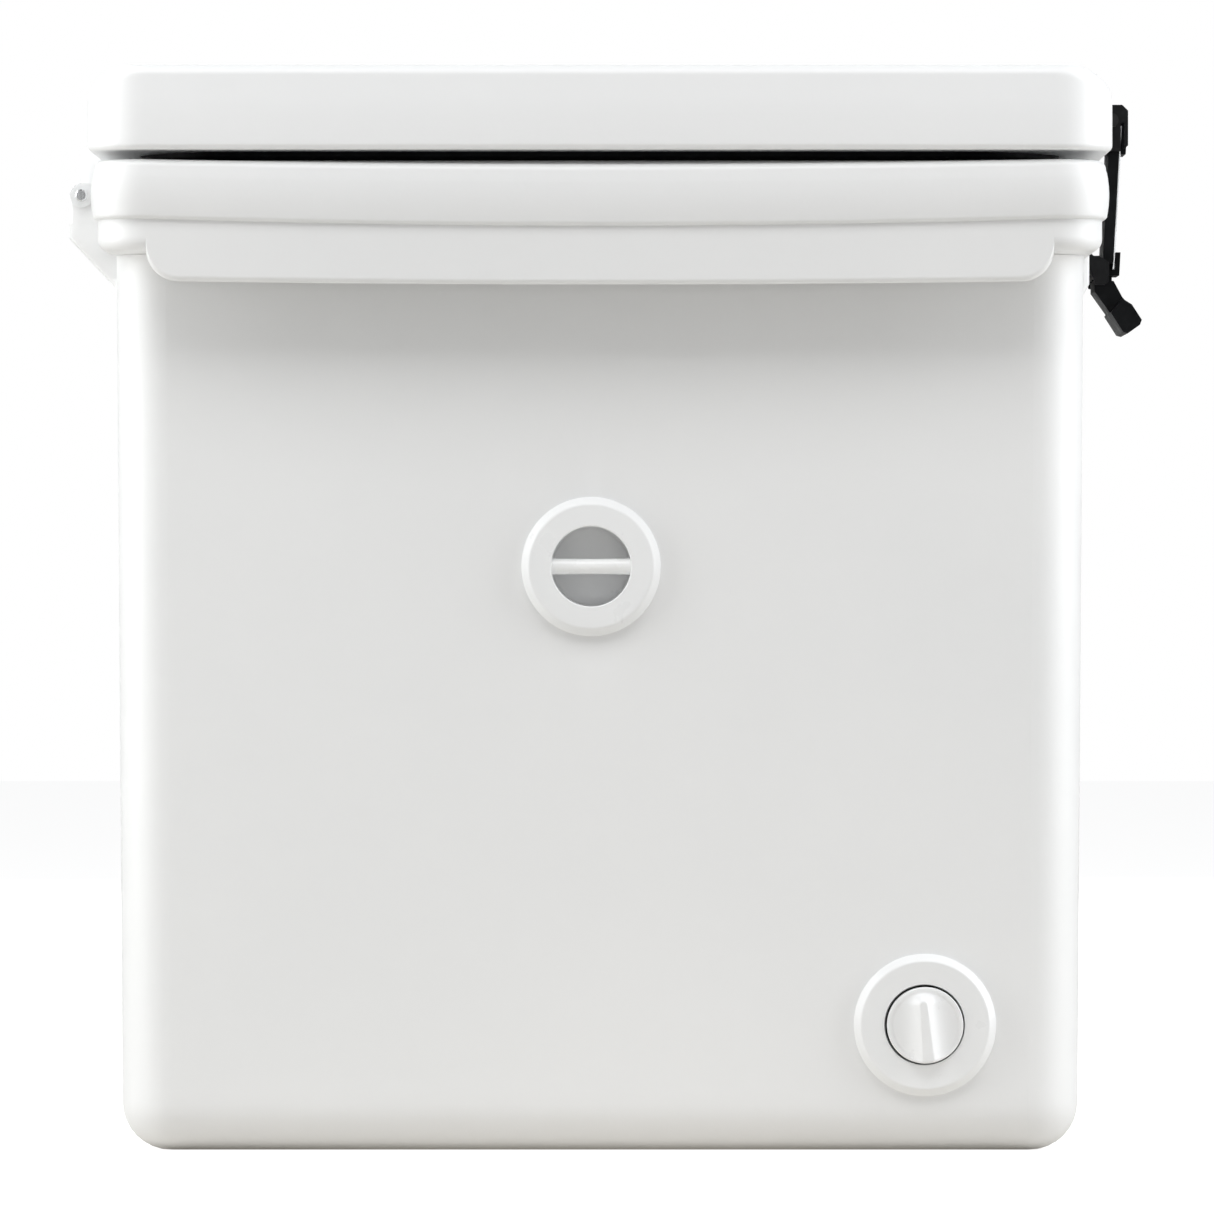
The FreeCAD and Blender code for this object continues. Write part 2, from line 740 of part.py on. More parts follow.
def strap_out(height):
    """How far out the strap's outer face is at a height: it leans in towards its lower end."""
    lean = "(strap_top_out - strap_low_out) / (plate_top - plate_low)"
    return f"strap_low_out + {lean} * ({height} - plate_low)"


def make_bracket(side):
    body = new_body(f"latch_bracket_{side}")
    centre = latch_centre(side)
    back = side_sketch(body, f"bracket_back_{side}", centre)
    add_outline(back, [
        ("lid_width / 2", "bracket_bottom"),
        ("lid_width / 2 + bracket_back", "bracket_bottom"),
        ("lid_width / 2 + bracket_back", "bracket_top"),
        ("lid_width / 2", "bracket_top"),
    ])
    pad(body, back, "bracket_width", middle=True)
    for hand in (-1, 1):
        place_of_cheek = f"{centre} + {hand} * (cheek_gap + cheek_thick) / 2"
        cheek = side_sketch(body, f"cheek_{side}_{hand + 1}", place_of_cheek)
        add_outline(cheek, [
            ("lid_width / 2", "bracket_bottom"),
            ("cheek_out - 3", "bracket_bottom"),
            ("cheek_out", "bracket_bottom + 3"),
            ("cheek_out", "bracket_top - 3"),
            ("cheek_out - 3", "bracket_top"),
            ("lid_width / 2", "bracket_top"),
        ])
        pad(body, cheek, "cheek_thick", middle=True)
    hole = side_sketch(body, f"pin_hole_{side}", centre)
    add_circle(hole, "pin_radius + running_gap", "pin_out", "pin_height")
    pocket(body, hole, "bracket_width", middle=True)
    screws = new_sketch(body, f"bracket_screws_{side}", "YZ_Plane", z="lid_width / 2 + bracket_back")
    for hand in (-1, 1):
        add_circle(screws, "screw_radius + screw_gap",
                   f"{centre} + {hand} * bracket_screw_spacing / 2", "bracket_screw_height")
    pocket(body, screws, "bracket_back")
    return body


def make_latch_pin(side):
    """A headed pin through both cheeks and the strap's eye."""
    body = new_body(f"latch_pin_{side}")
    profile = new_sketch(body, f"pin_profile_{side}", "YZ_Plane",
                         x=latch_centre(side), y="pin_height", z="pin_out")
    face = "cheek_gap / 2 + cheek_thick + 0.1"
    end = f"{face} + pin_head_thick"
    add_outline(profile, [
        (f"-({end})", "0"),
        (f"-({end})", "pin_head_radius"),
        (f"-({face})", "pin_head_radius"),
        (f"-({face})", "pin_radius"),
        (face, "pin_radius"),
        (face, "pin_head_radius"),
        (end, "pin_head_radius"),
        (end, "0"),
    ])
    turn(body, profile, "H_Axis")
    return body


def make_strap(side):
    """One rubber moulding: eye, strap, two lips that hold the face plate, bulb and pull bar."""
    body = new_body(f"latch_strap_{side}")
    centre = latch_centre(side)
    eye = side_sketch(body, f"strap_eye_{side}", centre)
    add_circle(eye, "eye_radius", "pin_out", "pin_height")
    pad(body, eye, "cheek_gap - 1", middle=True)
    top, low = "pin_height - 1", "prong_top + 3"
    band = side_sketch(body, f"strap_band_{side}", centre)
    add_outline(band, [
        (f"{strap_out(low)} - strap_thick", low),
        (strap_out(low), low),
        (strap_out(top), top),
        (f"{strap_out(top)} - strap_thick", top),
    ])
    pad(body, band, "strap_width", middle=True)
    neck = side_sketch(body, f"strap_neck_{side}", centre)
    add_outline(neck, [
        ("boss_out + catch_thick + 4", "bulb_top - 2"),
        ("strap_low_out", "bulb_top - 2"),
        ("strap_low_out", f"{low} + 2"),
        ("strap_low_out - strap_thick", f"{low} + 2"),
    ])
    pad(body, neck, "neck_width", middle=True)
    for name, heel, free_end, back in (
        ("top_lip", "plate_top + 0.05", "top_lip_low", "plate_top + 2"),
        ("low_lip", "plate_low - 0.05", "low_lip_top", "plate_low - 3"),
    ):
        lip = side_sketch(body, f"{name}_{side}", centre)
        inner = "plate_thick + 0.05"
        add_outline(lip, [
            (f"{strap_out(free_end)} + {inner}", free_end),
            (f"{strap_out(free_end)} + {inner} + lip_thick", free_end),
            (f"{strap_out(back)} + {inner} + lip_thick", back),
            (f"{strap_out(back)} - 2", back),
            (f"{strap_out(heel)} - 2", heel),
            (f"{strap_out(heel)} + {inner}", heel),
        ])
        pad(body, lip, "lip_width", middle=True)
    bulb = side_sketch(body, f"bulb_{side}", centre)
    add_outline(bulb, [
        ("boss_out + 3.8", "bulb_top"),
        ("boss_out + 13.6", "bulb_top"),
        ("boss_out + 18.2", "bulb_top - 8.5"),
        ("boss_out + 22.2", "bulb_top - 13"),
        ("boss_out + 12", "bulb_top - 17"),
        ("boss_out + 3.8", "bulb_top - 5.5"),
    ])
    pad(body, bulb, "bulb_width", middle=True)
    bar = side_sketch(body, f"pull_bar_{side}", centre)
    add_outline(bar, [
        ("boss_out + 17.4", "bulb_top - 9.5"),
        ("boss_out + 22.4", "bulb_top - 12.6"),
        ("boss_out + 27.6", "bulb_top - 20.6"),
        ("boss_out + 26.6", "bulb_top - 23.2"),
        ("boss_out + 20.4", "bulb_top - 27.6"),
        ("boss_out + 18", "bulb_top - 27"),
        ("boss_out + 11.6", "bulb_top - 17"),
    ])
    pad(body, bar, "grip_bar_width", middle=True)
    hole = side_sketch(body, f"strap_hole_{side}", centre)
    add_circle(hole, "pin_radius + running_gap", "pin_out", "pin_height")
    pocket(body, hole, "bracket_width", middle=True)
    return body


def make_face_plate(side):
    body = new_body(f"latch_plate_{side}")
    plate = side_sketch(body, f"plate_{side}", latch_centre(side))
    add_outline(plate, [
        (strap_out("plate_low"), "plate_low"),
        (f"{strap_out('plate_low')} + plate_thick", "plate_low"),
        (f"{strap_out('plate_top')} + plate_thick", "plate_top"),
        (strap_out("plate_top"), "plate_top"),
    ])
    pad(body, plate, "plate_width", middle=True)
    return body


def make_catch(side):
    """A plate with two prongs and a rib at each side; the strap's neck lies between the prongs."""
    body = new_body(f"latch_catch_{side}")
    centre = latch_centre(side)
    back = side_sketch(body, f"catch_back_{side}", centre)
    add_outline(back, [
        ("boss_out", "boss_bottom"),
        ("boss_out + catch_thick", "boss_bottom"),
        ("boss_out + catch_thick", "boss_top - 1.5"),
        ("boss_out + catch_thick - 1.5", "boss_top"),
        ("boss_out", "boss_top"),
    ])
    pad(body, back, "catch_width", middle=True)
    prong = side_sketch(body, f"prong_{side}", centre)
    add_outline(prong, [
        ("boss_out + 1", "prong_bottom"),
        ("prong_out - 1", "prong_bottom"),
        ("prong_out", "prong_bottom + 1"),
        ("prong_out", "prong_top - 1.5"),
        ("prong_out - 1.5", "prong_top"),
        ("boss_out + catch_thick + 2", "prong_top"),
        ("boss_out + catch_thick", "prong_top + 3"),
        ("boss_out + 1", "prong_top + 3"),
    ])
    pad(body, prong, "prong_width", middle=True)
    for hand in (-1, 1):
        middle = f"{centre} + {hand} * (catch_width - cheek_rib) / 2"
        rib = side_sketch(body, f"catch_rib_{side}_{'near' if hand < 0 else 'far'}", middle)
        add_outline(rib, [
            ("boss_out + 1", "boss_bottom"),
            ("boss_out + cheek_reach - 2", "boss_bottom"),
            ("boss_out + cheek_reach", "boss_bottom + 2"),
            ("boss_out + cheek_reach", "boss_top - 5"),
            ("boss_out + cheek_reach - 5", "boss_top - 1.5"),
            ("boss_out + 1", "boss_top - 1.5"),
        ])
        pad(body, rib, "cheek_rib", middle=True)
    slot = side_sketch(body, f"fork_slot_{side}", centre)
    add_outline(slot, [
        ("boss_out + catch_thick + 1", "boss_bottom"),
        ("prong_out + 1", "boss_bottom"),
        ("prong_out + 1", "boss_top"),
        ("boss_out + catch_thick + 1", "boss_top"),
    ])
    pocket(body, slot, "slot_width", middle=True)
    screws = new_sketch(body, f"catch_screws_{side}", "YZ_Plane", z="boss_out + catch_thick")
    for hand in (-1, 1):
        add_circle(screws, "screw_radius + screw_gap",
                   f"{centre} + {hand} * catch_screw_spacing / 2", "catch_screw_height")
    pocket(body, screws, "catch_thick")
    return body


def make_screws(name, out, side, spacing, height):
    """A pair of pan-head screws that point along -X, head against the face at this distance."""
    face, radius = number(out), number("screw_radius")
    head, thick = number("screw_head_radius"), number("screw_head_thick")
    solids = []
    for hand in (-1, 1):
        along = number(f"{latch_centre(side)} + {hand} * ({spacing}) / 2")
        base = Vector(face, along, number(height))
        top = Part.makeCylinder(head, thick, base, Vector(1, 0, 0))
        rim = [edge for edge in top.Edges if edge.BoundBox.XMin > face + thick - 0.01]
        top = top.makeFillet(thick * 0.6, rim)
        hexagon = Part.makePolygon([
            base + FreeCAD.Rotation(Vector(1, 0, 0), 60 * i).multVec(Vector(0, radius * 0.65, 0))
            for i in range(7)
        ])
        socket = Part.Face(hexagon).extrude(Vector(thick, 0, 0))
        socket.translate(Vector(thick * 0.4, 0, 0))
        shank = Part.makeCylinder(radius, number("screw_length"), base, Vector(-1, 0, 0))
        solids.append(top.cut(socket).fuse(shank))
    screws = doc.addObject("Part::Feature", f"{name}_{side}")
    screws.Shape = Part.makeCompound(solids)
    return screws


# Round fittings, each drawn about the -Y axis with the wall's face in its own plane y = 0.
# A point of a profile is (distance inwards from the wall, radius).


def make_round(name, points, x, z, y="-wall_length / 2", turned=0.0):
    body = new_body(name)
    profile = new_sketch(body, f"{name}_profile", "YZ_Plane")
    turn(body, add_outline(profile, points), "H_Axis")
    place(body, x, y, z, turned)
    return body


def make_tie_cup(side, sign):
    body = make_round(f"tie_down_cup_{side}", [
        ("0", "cup_flange_radius"),
        ("-cup_edge", "cup_flange_radius"),
        ("-cup_proud", "cup_face_radius"),
        ("-cup_proud", "cup_mouth_radius"),
        ("cup_depth", "cup_mouth_radius"),
        ("cup_depth", "0"),
        ("cup_depth + cup_wall", "0"),
        ("cup_depth + cup_wall", "cup_mouth_radius + cup_wall"),
        ("0", "cup_mouth_radius + cup_wall"),
    ], "tie_side", "tie_height", f"{sign} * wall_length / 2", 0.0 if sign < 0 else 180.0)
    sockets = new_sketch(body, f"bar_sockets_{side}", "YZ_Plane")
    add_circle(sockets, "bar_radius + running_gap", "bar_depth", "0")
    pocket(body, sockets, "bar_length + 0.2", middle=True)
    return body


def make_tie_bar(side, sign):
    body = new_body(f"tie_down_bar_{side}")
    section = new_sketch(body, f"bar_section_{side}", "YZ_Plane")
    pad(body, add_circle(section, "bar_radius", "bar_depth", "0"), "bar_length", middle=True)
    place(body, "tie_side", f"{sign} * wall_length / 2", "tie_height", 0.0 if sign < 0 else 180.0)
    return body


def make_drain_housing():
    return make_round("drain_housing", [
        ("0", "drain_flange_radius"),
        ("-drain_edge", "drain_flange_radius"),
        ("-drain_proud", "drain_face_radius"),
        ("-drain_proud + drain_dish", "drain_mouth_radius + 1"),
        ("-drain_proud + drain_dish + 1", "drain_mouth_radius"),
        ("drain_seat", "drain_mouth_radius"),
        ("drain_seat", "drain_bore_radius"),
        ("drain_tube_length", "drain_bore_radius"),
        ("drain_tube_length", "drain_tube_radius"),
        ("drain_neck_length", "drain_tube_radius"),
        ("drain_neck_length", "drain_neck_radius"),
        ("0", "drain_neck_radius"),
    ], "drain_side", "drain_height")


def make_drain_nut():
    body = make_round("drain_inner_nut", [
        ("sump_wall + washer_thick", "drain_tube_radius + drain_gap"),
        ("sump_wall + washer_thick", "nut_radius"),
        ("sump_wall + washer_thick + nut_thick - 2", "nut_radius"),
        ("sump_wall + washer_thick + nut_thick", "nut_radius - 2"),
        ("sump_wall + washer_thick + nut_thick", "drain_tube_radius + drain_gap"),
    ], "drain_side", "drain_height")
    notches = new_sketch(body, "nut_notches", "XZ_Plane", z="-(sump_wall + washer_thick + nut_thick)")
    add_circle(notches, "3", "nut_radius", "0")
    notch = pocket(body, notches, "nut_thick", backwards=True)
    ring = body.newObject("PartDesign::PolarPattern", "nut_notch_ring")
    ring.Originals = [notch]
    ring.Axis = (origin_feature(body, "Y_Axis"), [""])
    ring.Angle = 360.0
    ring.Occurrences = 8
    body.Tip = ring
    doc.recompute()
    return body


def make_drain_washer():
    return make_round("drain_inner_gasket", [
        ("sump_wall", "drain_tube_radius + drain_gap"),
        ("sump_wall", "washer_radius"),
        ("sump_wall + washer_thick", "washer_radius"),
        ("sump_wall + washer_thick", "drain_tube_radius + drain_gap"),
    ], "drain_side", "drain_height")


def make_plug_seal():
    top = "drain_seat - drain_gap - seal_thick"
    return make_round("drain_plug_seal", [
        (top, "seal_bore"),
        (top, "seal_radius"),
        ("drain_seat - drain_gap", "seal_radius"),
        ("drain_seat - drain_gap", "seal_bore"),
    ], "drain_side", "drain_height")


def make_drain_plug():
    """Head with a raised wing to turn it by, and a stub that stands for the threaded part."""
    under = "drain_seat - seal_thick - 2 * drain_gap"
    body = make_round("drain_plug", [
        ("-head_face + head_dish", "0"),
        ("-head_face", "head_radius - 2"),
        ("-head_face + 1", "head_radius"),
        (under, "head_radius"),
        (under, "stub_radius"),
        ("stub_length - 1.5", "stub_radius"),
        ("stub_length", "stub_radius - 1.5"),
        ("stub_length", "0"),
    ], "drain_side", "drain_height")
    wing = new_sketch(body, "wing", "XZ_Plane", z="head_face - head_dish - 1")
    wing.AttachmentOffset = FreeCAD.Placement(
        wing.AttachmentOffset.Base, FreeCAD.Rotation(Vector(0, 0, 1), number("wing_lean"))
    )
    add_rounded(wing, "-wing_thick / 2", "wing_thick / 2", "-wing_length / 2", "wing_length / 2",
                "wing_thick / 2 - 0.2")
    pad(body, wing, "wing_proud - head_face + head_dish + 1")
    return body


def build():
    parts = [make_body_shell(), make_body_foam(), make_lid_shell(), make_lid_foam(), make_lid_gasket()]
    parts.append(make_fill_plug("body_fill_plug", "0", "skin"))
    parts.append(make_fill_plug("lid_fill_plug", "plug_step_bottom", "lid_skin"))
    parts += [make_hinge_rod(), make_hinge_clips()]
    for side, sign in ENDS.items():
        parts += [make_bracket(side), make_latch_pin(side), make_strap(side)]
        parts += [make_face_plate(side), make_catch(side)]
        parts.append(make_screws("latch_bracket_screws", "lid_width / 2 + bracket_back", side,
                                 "bracket_screw_spacing", "bracket_screw_height"))
        parts.append(make_screws("latch_catch_screws", "boss_out + catch_thick", side,
                                 "catch_screw_spacing", "catch_screw_height"))
        parts += [make_tie_cup(side, sign), make_tie_bar(side, sign)]
    parts += [make_drain_housing(), make_drain_nut(), make_drain_washer()]
    parts += [make_plug_seal(), make_drain_plug()]
    return parts


def check(parts):
    doc.recompute()
    for item in doc.Objects:
        if {"Invalid", "Error"} & set(item.State):
            raise RuntimeError(f"{item.Name} failed: {item.State}")
    for item in parts:
        if item.Shape.isNull() or not item.Shape.isValid():
            raise RuntimeError(f"{item.Label} has no valid shape")


def write(parts):
    os.makedirs("parts", exist_ok=True)
    for item in parts:
        item.Shape.exportStep(f"parts/{item.Label}.step")
        box = item.Shape.BoundBox
        print(f"{item.Label}: {len(item.Shape.Solids)} solid(s), {item.Shape.Volume / 1000:.2f} cm3, "
              f"x {box.XMin:.1f} {box.XMax:.1f}, y {box.YMin:.1f} {box.YMax:.1f}, "
              f"z {box.ZMin:.1f} {box.ZMax:.1f}")


PARTS = build()
check(PARTS)
write(PARTS)
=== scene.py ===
import math
from collections import namedtuple

import bmesh
import bpy
import numpy as np
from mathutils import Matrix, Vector


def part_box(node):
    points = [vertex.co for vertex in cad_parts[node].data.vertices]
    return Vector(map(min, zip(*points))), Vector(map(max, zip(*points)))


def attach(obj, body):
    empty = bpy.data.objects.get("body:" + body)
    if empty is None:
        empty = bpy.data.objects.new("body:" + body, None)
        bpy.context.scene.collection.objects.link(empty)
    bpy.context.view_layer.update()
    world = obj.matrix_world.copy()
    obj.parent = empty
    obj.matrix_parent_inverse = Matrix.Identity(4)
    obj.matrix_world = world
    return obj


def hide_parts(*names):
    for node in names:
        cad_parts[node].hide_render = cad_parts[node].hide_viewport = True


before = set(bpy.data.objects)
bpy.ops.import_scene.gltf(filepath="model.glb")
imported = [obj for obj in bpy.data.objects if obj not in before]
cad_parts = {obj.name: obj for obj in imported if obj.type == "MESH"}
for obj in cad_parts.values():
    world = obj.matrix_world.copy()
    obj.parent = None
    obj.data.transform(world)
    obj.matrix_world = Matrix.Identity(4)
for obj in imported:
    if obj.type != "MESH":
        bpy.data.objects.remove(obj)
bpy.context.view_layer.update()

# Lengths in this script are in millimetres; meshes are made in metres.
MM = 0.001
TURN = 2 * math.pi
RIGHT_ANGLE = math.pi / 2


def box_mm(node):
    """A CAD node's lowest and highest corners at rest."""
    low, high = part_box(node)
    return low / MM, high / MM


def middle_of(low, high):
    """The middle of a box."""
    return (low + high) / 2


def arc(count, start=0.0, end=RIGHT_ANGLE):
    """Angles from start to end, both included."""
    return [start + (end - start) * i / count for i in range(count + 1)]


# ---------------------------------------------------------------- driving sizes, from the frame

LID_LOW, LID_HIGH = box_mm("lid_shell")
SHELL_HIGH = box_mm("body_shell")[1]
GASKET_LOW, GASKET_HIGH = box_mm("lid_gasket")
ROD_LOW, ROD_HIGH = box_mm("hinge_rod")
CATCH_LOW = box_mm("latch_catch_left")[0]
CUP_MIDDLE = middle_of(*box_mm("tie_down_cup_left"))
DRAIN_MIDDLE = middle_of(*box_mm("drain_housing"))
FILL_MIDDLE = middle_of(*box_mm("body_fill_plug"))

LID_X, LID_Y, LID_CORNER = LID_HIGH.x, LID_HIGH.y, 28.0
LID_BOTTOM = 501.5
RIM_X, RIM_Y, RIM_CORNER, RIM_TOP = SHELL_HIGH.x, SHELL_HIGH.y, 27.0, SHELL_HIGH.z
BAND_X, BAND_Y, BAND_CORNER = RIM_X - 3.5, RIM_Y - 3.5, 25.0
RIM_BOTTOM, BAND_BOTTOM = RIM_TOP - 29.5, RIM_TOP - 45.5
WALL_X, WALL_FOOT_X, WALL_Y, WALL_CORNER = 244.0, 241.0, 462.0, 26.0
FOOT_ROUND = 24.0
TUB_X, TUB_Y, TUB_CORNER, TUB_LIP = 202.0, 418.0, 34.0, 4.0
TUB_FLOOR, TUB_FLOOR_X, TUB_FLOOR_Y, TUB_FLOOR_CORNER, TUB_ROUND = 50.0, 196.0, 412.0, 30.0, 26.0
HINGE_X, HINGE_Z = (ROD_LOW.x + ROD_HIGH.x) / 2, (ROD_LOW.z + ROD_HIGH.z) / 2
KNUCKLE_RADIUS = 6.5
KNUCKLE_PITCH, KNUCKLE_HALF = 96.0, 46.0
BODY_KNUCKLES = [i * 2 * KNUCKLE_PITCH for i in (-2, -1, 0, 1, 2)]
LID_ARMS = [i * KNUCKLE_PITCH for i in (-3, -1, 1, 3)]
LATCH_PLACES = {"left": -290.0, "right": 290.0}
BOSS_HALF, BOSS_X = 40.0, CATCH_LOW.x
LIP_HALF, LIP_ROUND, LIP_BOTTOM, LIP_SAG, LIP_INNER_Y = 226.4, 16.0, 436.0, 1.7, BAND_Y - 10.0
FINGER_HALF, FINGER_TOP = 215.0, 470.0
DRAIN_CENTRE = (DRAIN_MIDDLE.x, -WALL_Y, DRAIN_MIDDLE.z)
HINGE_CENTRE = (HINGE_X, 0.0, HINGE_Z)


# ---------------------------------------------------------------- skins swept round a chest

# A station is a place on the outline: along is its coordinate on a straight side, or its angle at a
# corner. Every ring of a skin has the same stations, so that its faces line up.
Station = namedtuple("Station", "side along normal quadrant")
END_KEEP = 205.0
LONG_LAST = max(BODY_KNUCKLES) + KNUCKLE_HALF + 2.0
LONG_STEP, END_STEP, GASKET_STEP = 40.0, 24.0, 60.0
SOFT_INSETS, SOFT_SHARES = (0.0, 0.15, 0.6, 1.5), (0.0, 0.55, 0.85, 1.0)


def softened_steps(centres, half):
    """Places along a side that follow the small rounded ends of blocks set at these centres."""
    places = set()
    for centre in centres:
        for edge in (-half, half):
            for inset in SOFT_INSETS:
                places.add(centre + edge - math.copysign(inset, edge))
    return places


def block_share(along, centres, half):
    """1 on a block, 0 between blocks, with the block's ends rounded over 1.5 mm."""
    inside = half - min(abs(along - centre) for centre in centres)
    return float(np.interp(inside, SOFT_INSETS, SOFT_SHARES))


def spread(places, last, step):
    """The places, with more between them and out to last so that no gap is much over step."""
    found = sorted(set(round(p, 3) for p in places) | {-last, last})
    full = []
    for low, high in zip(found, found[1:]):
        parts = max(1, math.ceil((high - low) / step))
        full += [low + (high - low) * i / parts for i in range(parts)]
    return full + [last]


def perimeter(east, west, ends, corner_steps=12):
    """Stations once round the outline, anticlockwise from the east side's -Y end."""
    found = []
    sides = (
        ("east", sorted(east), (1, 0)),
        ("north", sorted(ends, reverse=True), (0, 1)),
        ("west", sorted(west, reverse=True), (-1, 0)),
        ("south", sorted(ends), (0, -1)),
    )
    for i, (side, places, normal) in enumerate(sides):
        found += [Station(side, place, normal, None) for place in places]
        middle = (i + 0.5) * RIGHT_ANGLE
        quadrant = (math.copysign(1, math.cos(middle)), math.copysign(1, math.sin(middle)))
        for angle in arc(corner_steps, i * RIGHT_ANGLE, (i + 1) * RIGHT_ANGLE):
            found.append(Station("corner", angle, (math.cos(angle), math.sin(angle)), quadrant))
    return found


def squeezed(along, keep, last, limit):
    """A place along a side, drawn in where the side is too short to hold it."""
    room = limit - 0.05
    if room >= last:
        return along
    if room <= keep:
        return along * room / last
    size = abs(along)
    if size > keep:
        size = keep + (size - keep) * (room - keep) / (last - keep)
    return math.copysign(size, along)


def on_outline(station, half_x, half_y, corner):
    """A station's place (x, y) on a rounded rectangle."""
    nx, ny = station.normal
    if station.side == "corner":
        sx, sy = station.quadrant
        return sx * (half_x - corner) + corner * nx, sy * (half_y - corner) + corner * ny
    if nx:
        return nx * half_x, squeezed(station.along, LONG_LAST, LONG_LAST, half_y - corner)
    return squeezed(station.along, END_KEEP, LIP_HALF, half_x - corner), ny * half_y


def skin(rows, loop=False):
    """Vertices and quads between rows of points; the first and last rows are capped."""
    count, total = len(rows[0]), len(rows)
    vertices = [point for row in rows for point in row]
    faces = []
    for i in range(total if loop else total - 1):
        low, high = i * count, (i + 1) % total * count
        for j in range(count):
            k = (j + 1) % count
            faces.append((low + j, low + k, high + k, high + j))
    if not loop:
        faces.append(tuple(range(count - 1, -1, -1)))
        faces.append(tuple(range((total - 1) * count, total * count)))
    return vertices, faces


def add_object(name, data):
    """A new object in the scene."""
    thing = bpy.data.objects.new(name, data)
    bpy.context.scene.collection.objects.link(thing)
    return thing


def object_from(name, work):
    """A new object from a finished bmesh."""
    mesh = bpy.data.meshes.new(name)
    work.to_mesh(mesh)
    work.free()
    return add_object(name, mesh)


def make_piece(name, vertices, faces):
    """A mesh object from points in millimetres, with its faces turned outwards."""
    work = bmesh.new()
    made = [work.verts.new([MM * c for c in point]) for point in vertices]
    for face in faces:
        work.faces.new([made[i] for i in face])
    bmesh.ops.recalc_face_normals(work, faces=work.faces)
    return object_from(name, work)


def replace_mesh(thing, mesh):
    """Give a piece a new mesh and throw the old one away."""
    old = thing.data
    thing.data = mesh
    bpy.data.meshes.remove(old)


def carve(thing, *cutters):
    """Cut closed tools out of a piece, one after another, and throw the tools away."""
    for cutter in cutters:
        modifier = thing.modifiers.new("cut", "BOOLEAN")
        modifier.operation = "DIFFERENCE"
        modifier.solver = "MANIFOLD"
        modifier.object = cutter
        bpy.context.view_layer.update()
        graph = bpy.context.evaluated_depsgraph_get()
        mesh = bpy.data.meshes.new_from_object(thing.evaluated_get(graph))
        thing.modifiers.clear()
        replace_mesh(thing, mesh)
        bpy.data.objects.remove(cutter)


def add_hollow(thing, node):
    """Give a piece a sealed hollow with the shape of a CAD node that fills it."""
    work = bmesh.new()
    work.from_mesh(thing.data)
    before = set(work.faces)
    work.from_mesh(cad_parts[node].data)
    added = [face for face in work.faces if face not in before]
    corners = list({corner for face in added for corner in face.verts})
    bmesh.ops.remove_doubles(work, verts=corners, dist=1e-6)
    added = [face for face in work.faces if face not in before]
    bmesh.ops.reverse_faces(work, faces=added)
    work.to_mesh(thing.data)
    work.free()


def finish_piece(thing, body, slot, material, nodes, sharp=38.0):
    """Shade a finished mesh, dress it, attach it to the body that carries it and hide the nodes it stands
    for.
    """
    mesh = thing.data
    mesh.materials.clear()
    mesh.materials.append(material)
    mesh.shade_smooth()
    mesh.set_sharp_from_angle(angle=math.radians(sharp))
    weighted = thing.modifiers.new("even_shading", "WEIGHTED_NORMAL")
    weighted.keep_sharp = True
    weighted.weight = 80
    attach(thing, body)
    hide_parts(*nodes)
    return thing


# ---------------------------------------------------------------- materials


def node_tree(name):
    """A new material, its node tree and its shader."""
    material = bpy.data.materials.new(name)
    material.use_nodes = True
    tree = material.node_tree
    return material, tree, tree.nodes["Principled BSDF"]


def set_inputs(node, values):
    """Set a node's inputs by name."""
    for name, value in values.items():
        node.inputs[name].default_value = value


def noise(tree, scale, detail=3.0, stretch=(1.0, 1.0, 1.0)):
    """A noise pattern fixed to the object; scale is in cells for each metre."""
    place = tree.nodes.new("ShaderNodeTexCoord")
    mapping = tree.nodes.new("ShaderNodeMapping")
    mapping.inputs["Scale"].default_value = stretch
    pattern = tree.nodes.new("ShaderNodeTexNoise")
    set_inputs(pattern, {"Scale": scale, "Detail": detail})
    tree.links.new(place.outputs["Object"], mapping.inputs["Vector"])
    tree.links.new(mapping.outputs["Vector"], pattern.inputs["Vector"])
    return pattern.outputs["Fac"]


def ramp(tree, source, low, high, start=0.35, end=0.65):
    """Spread a pattern's middle between two colours."""
    node = tree.nodes.new("ShaderNodeValToRGB")
    stops = node.color_ramp.elements
    stops[0].position, stops[1].position = start, end
    stops[0].color, stops[1].color = (*low, 1.0), (*high, 1.0)
    tree.links.new(source, node.inputs["Fac"])
    return node.outputs["Color"]


def scaled(tree, source, low, high):
    """Spread a pattern's middle between two numbers."""
    node = tree.nodes.new("ShaderNodeMapRange")
    set_inputs(node, {"From Min": 0.3, "From Max": 0.7, "To Min": low, "To Max": high})
    tree.links.new(source, node.inputs["Value"])
    return node.outputs["Result"]


def add_bump(tree, shader, *layers):
    """Stack bump layers; each is (pattern, depth in metres, strength)."""
    last = None
    for source, depth, strength in layers:
        bump = tree.nodes.new("ShaderNodeBump")
        set_inputs(bump, {"Distance": depth, "Strength": strength})
        tree.links.new(source, bump.inputs["Height"])
        if last:
            tree.links.new(last, bump.inputs["Normal"])
        last = bump.outputs["Normal"]
    tree.links.new(last, shader.inputs["Normal"])


def moulded_white(name, low, high, roughness, waves, grain, coat=0.0):
    """White polyethylene: nearly even in tone, with slow waves and a fine orange-peel skin."""
    material, tree, shader = node_tree(name)
    tree.links.new(ramp(tree, noise(tree, 5.0, 4.0), low, high), shader.inputs["Base Color"])
    tree.links.new(
        scaled(tree, noise(tree, 60.0, 5.0), roughness - 0.04, roughness + 0.05),
        shader.inputs["Roughness"],
    )
    set_inputs(shader, {"IOR": 1.5, "Coat Weight": coat, "Coat Roughness": 0.12})
    add_bump(
        tree, shader,
        (noise(tree, 18.0, 2.0), 0.0006, waves),
        (noise(tree, 420.0, 3.0), 0.00005, grain),
    )
    return material


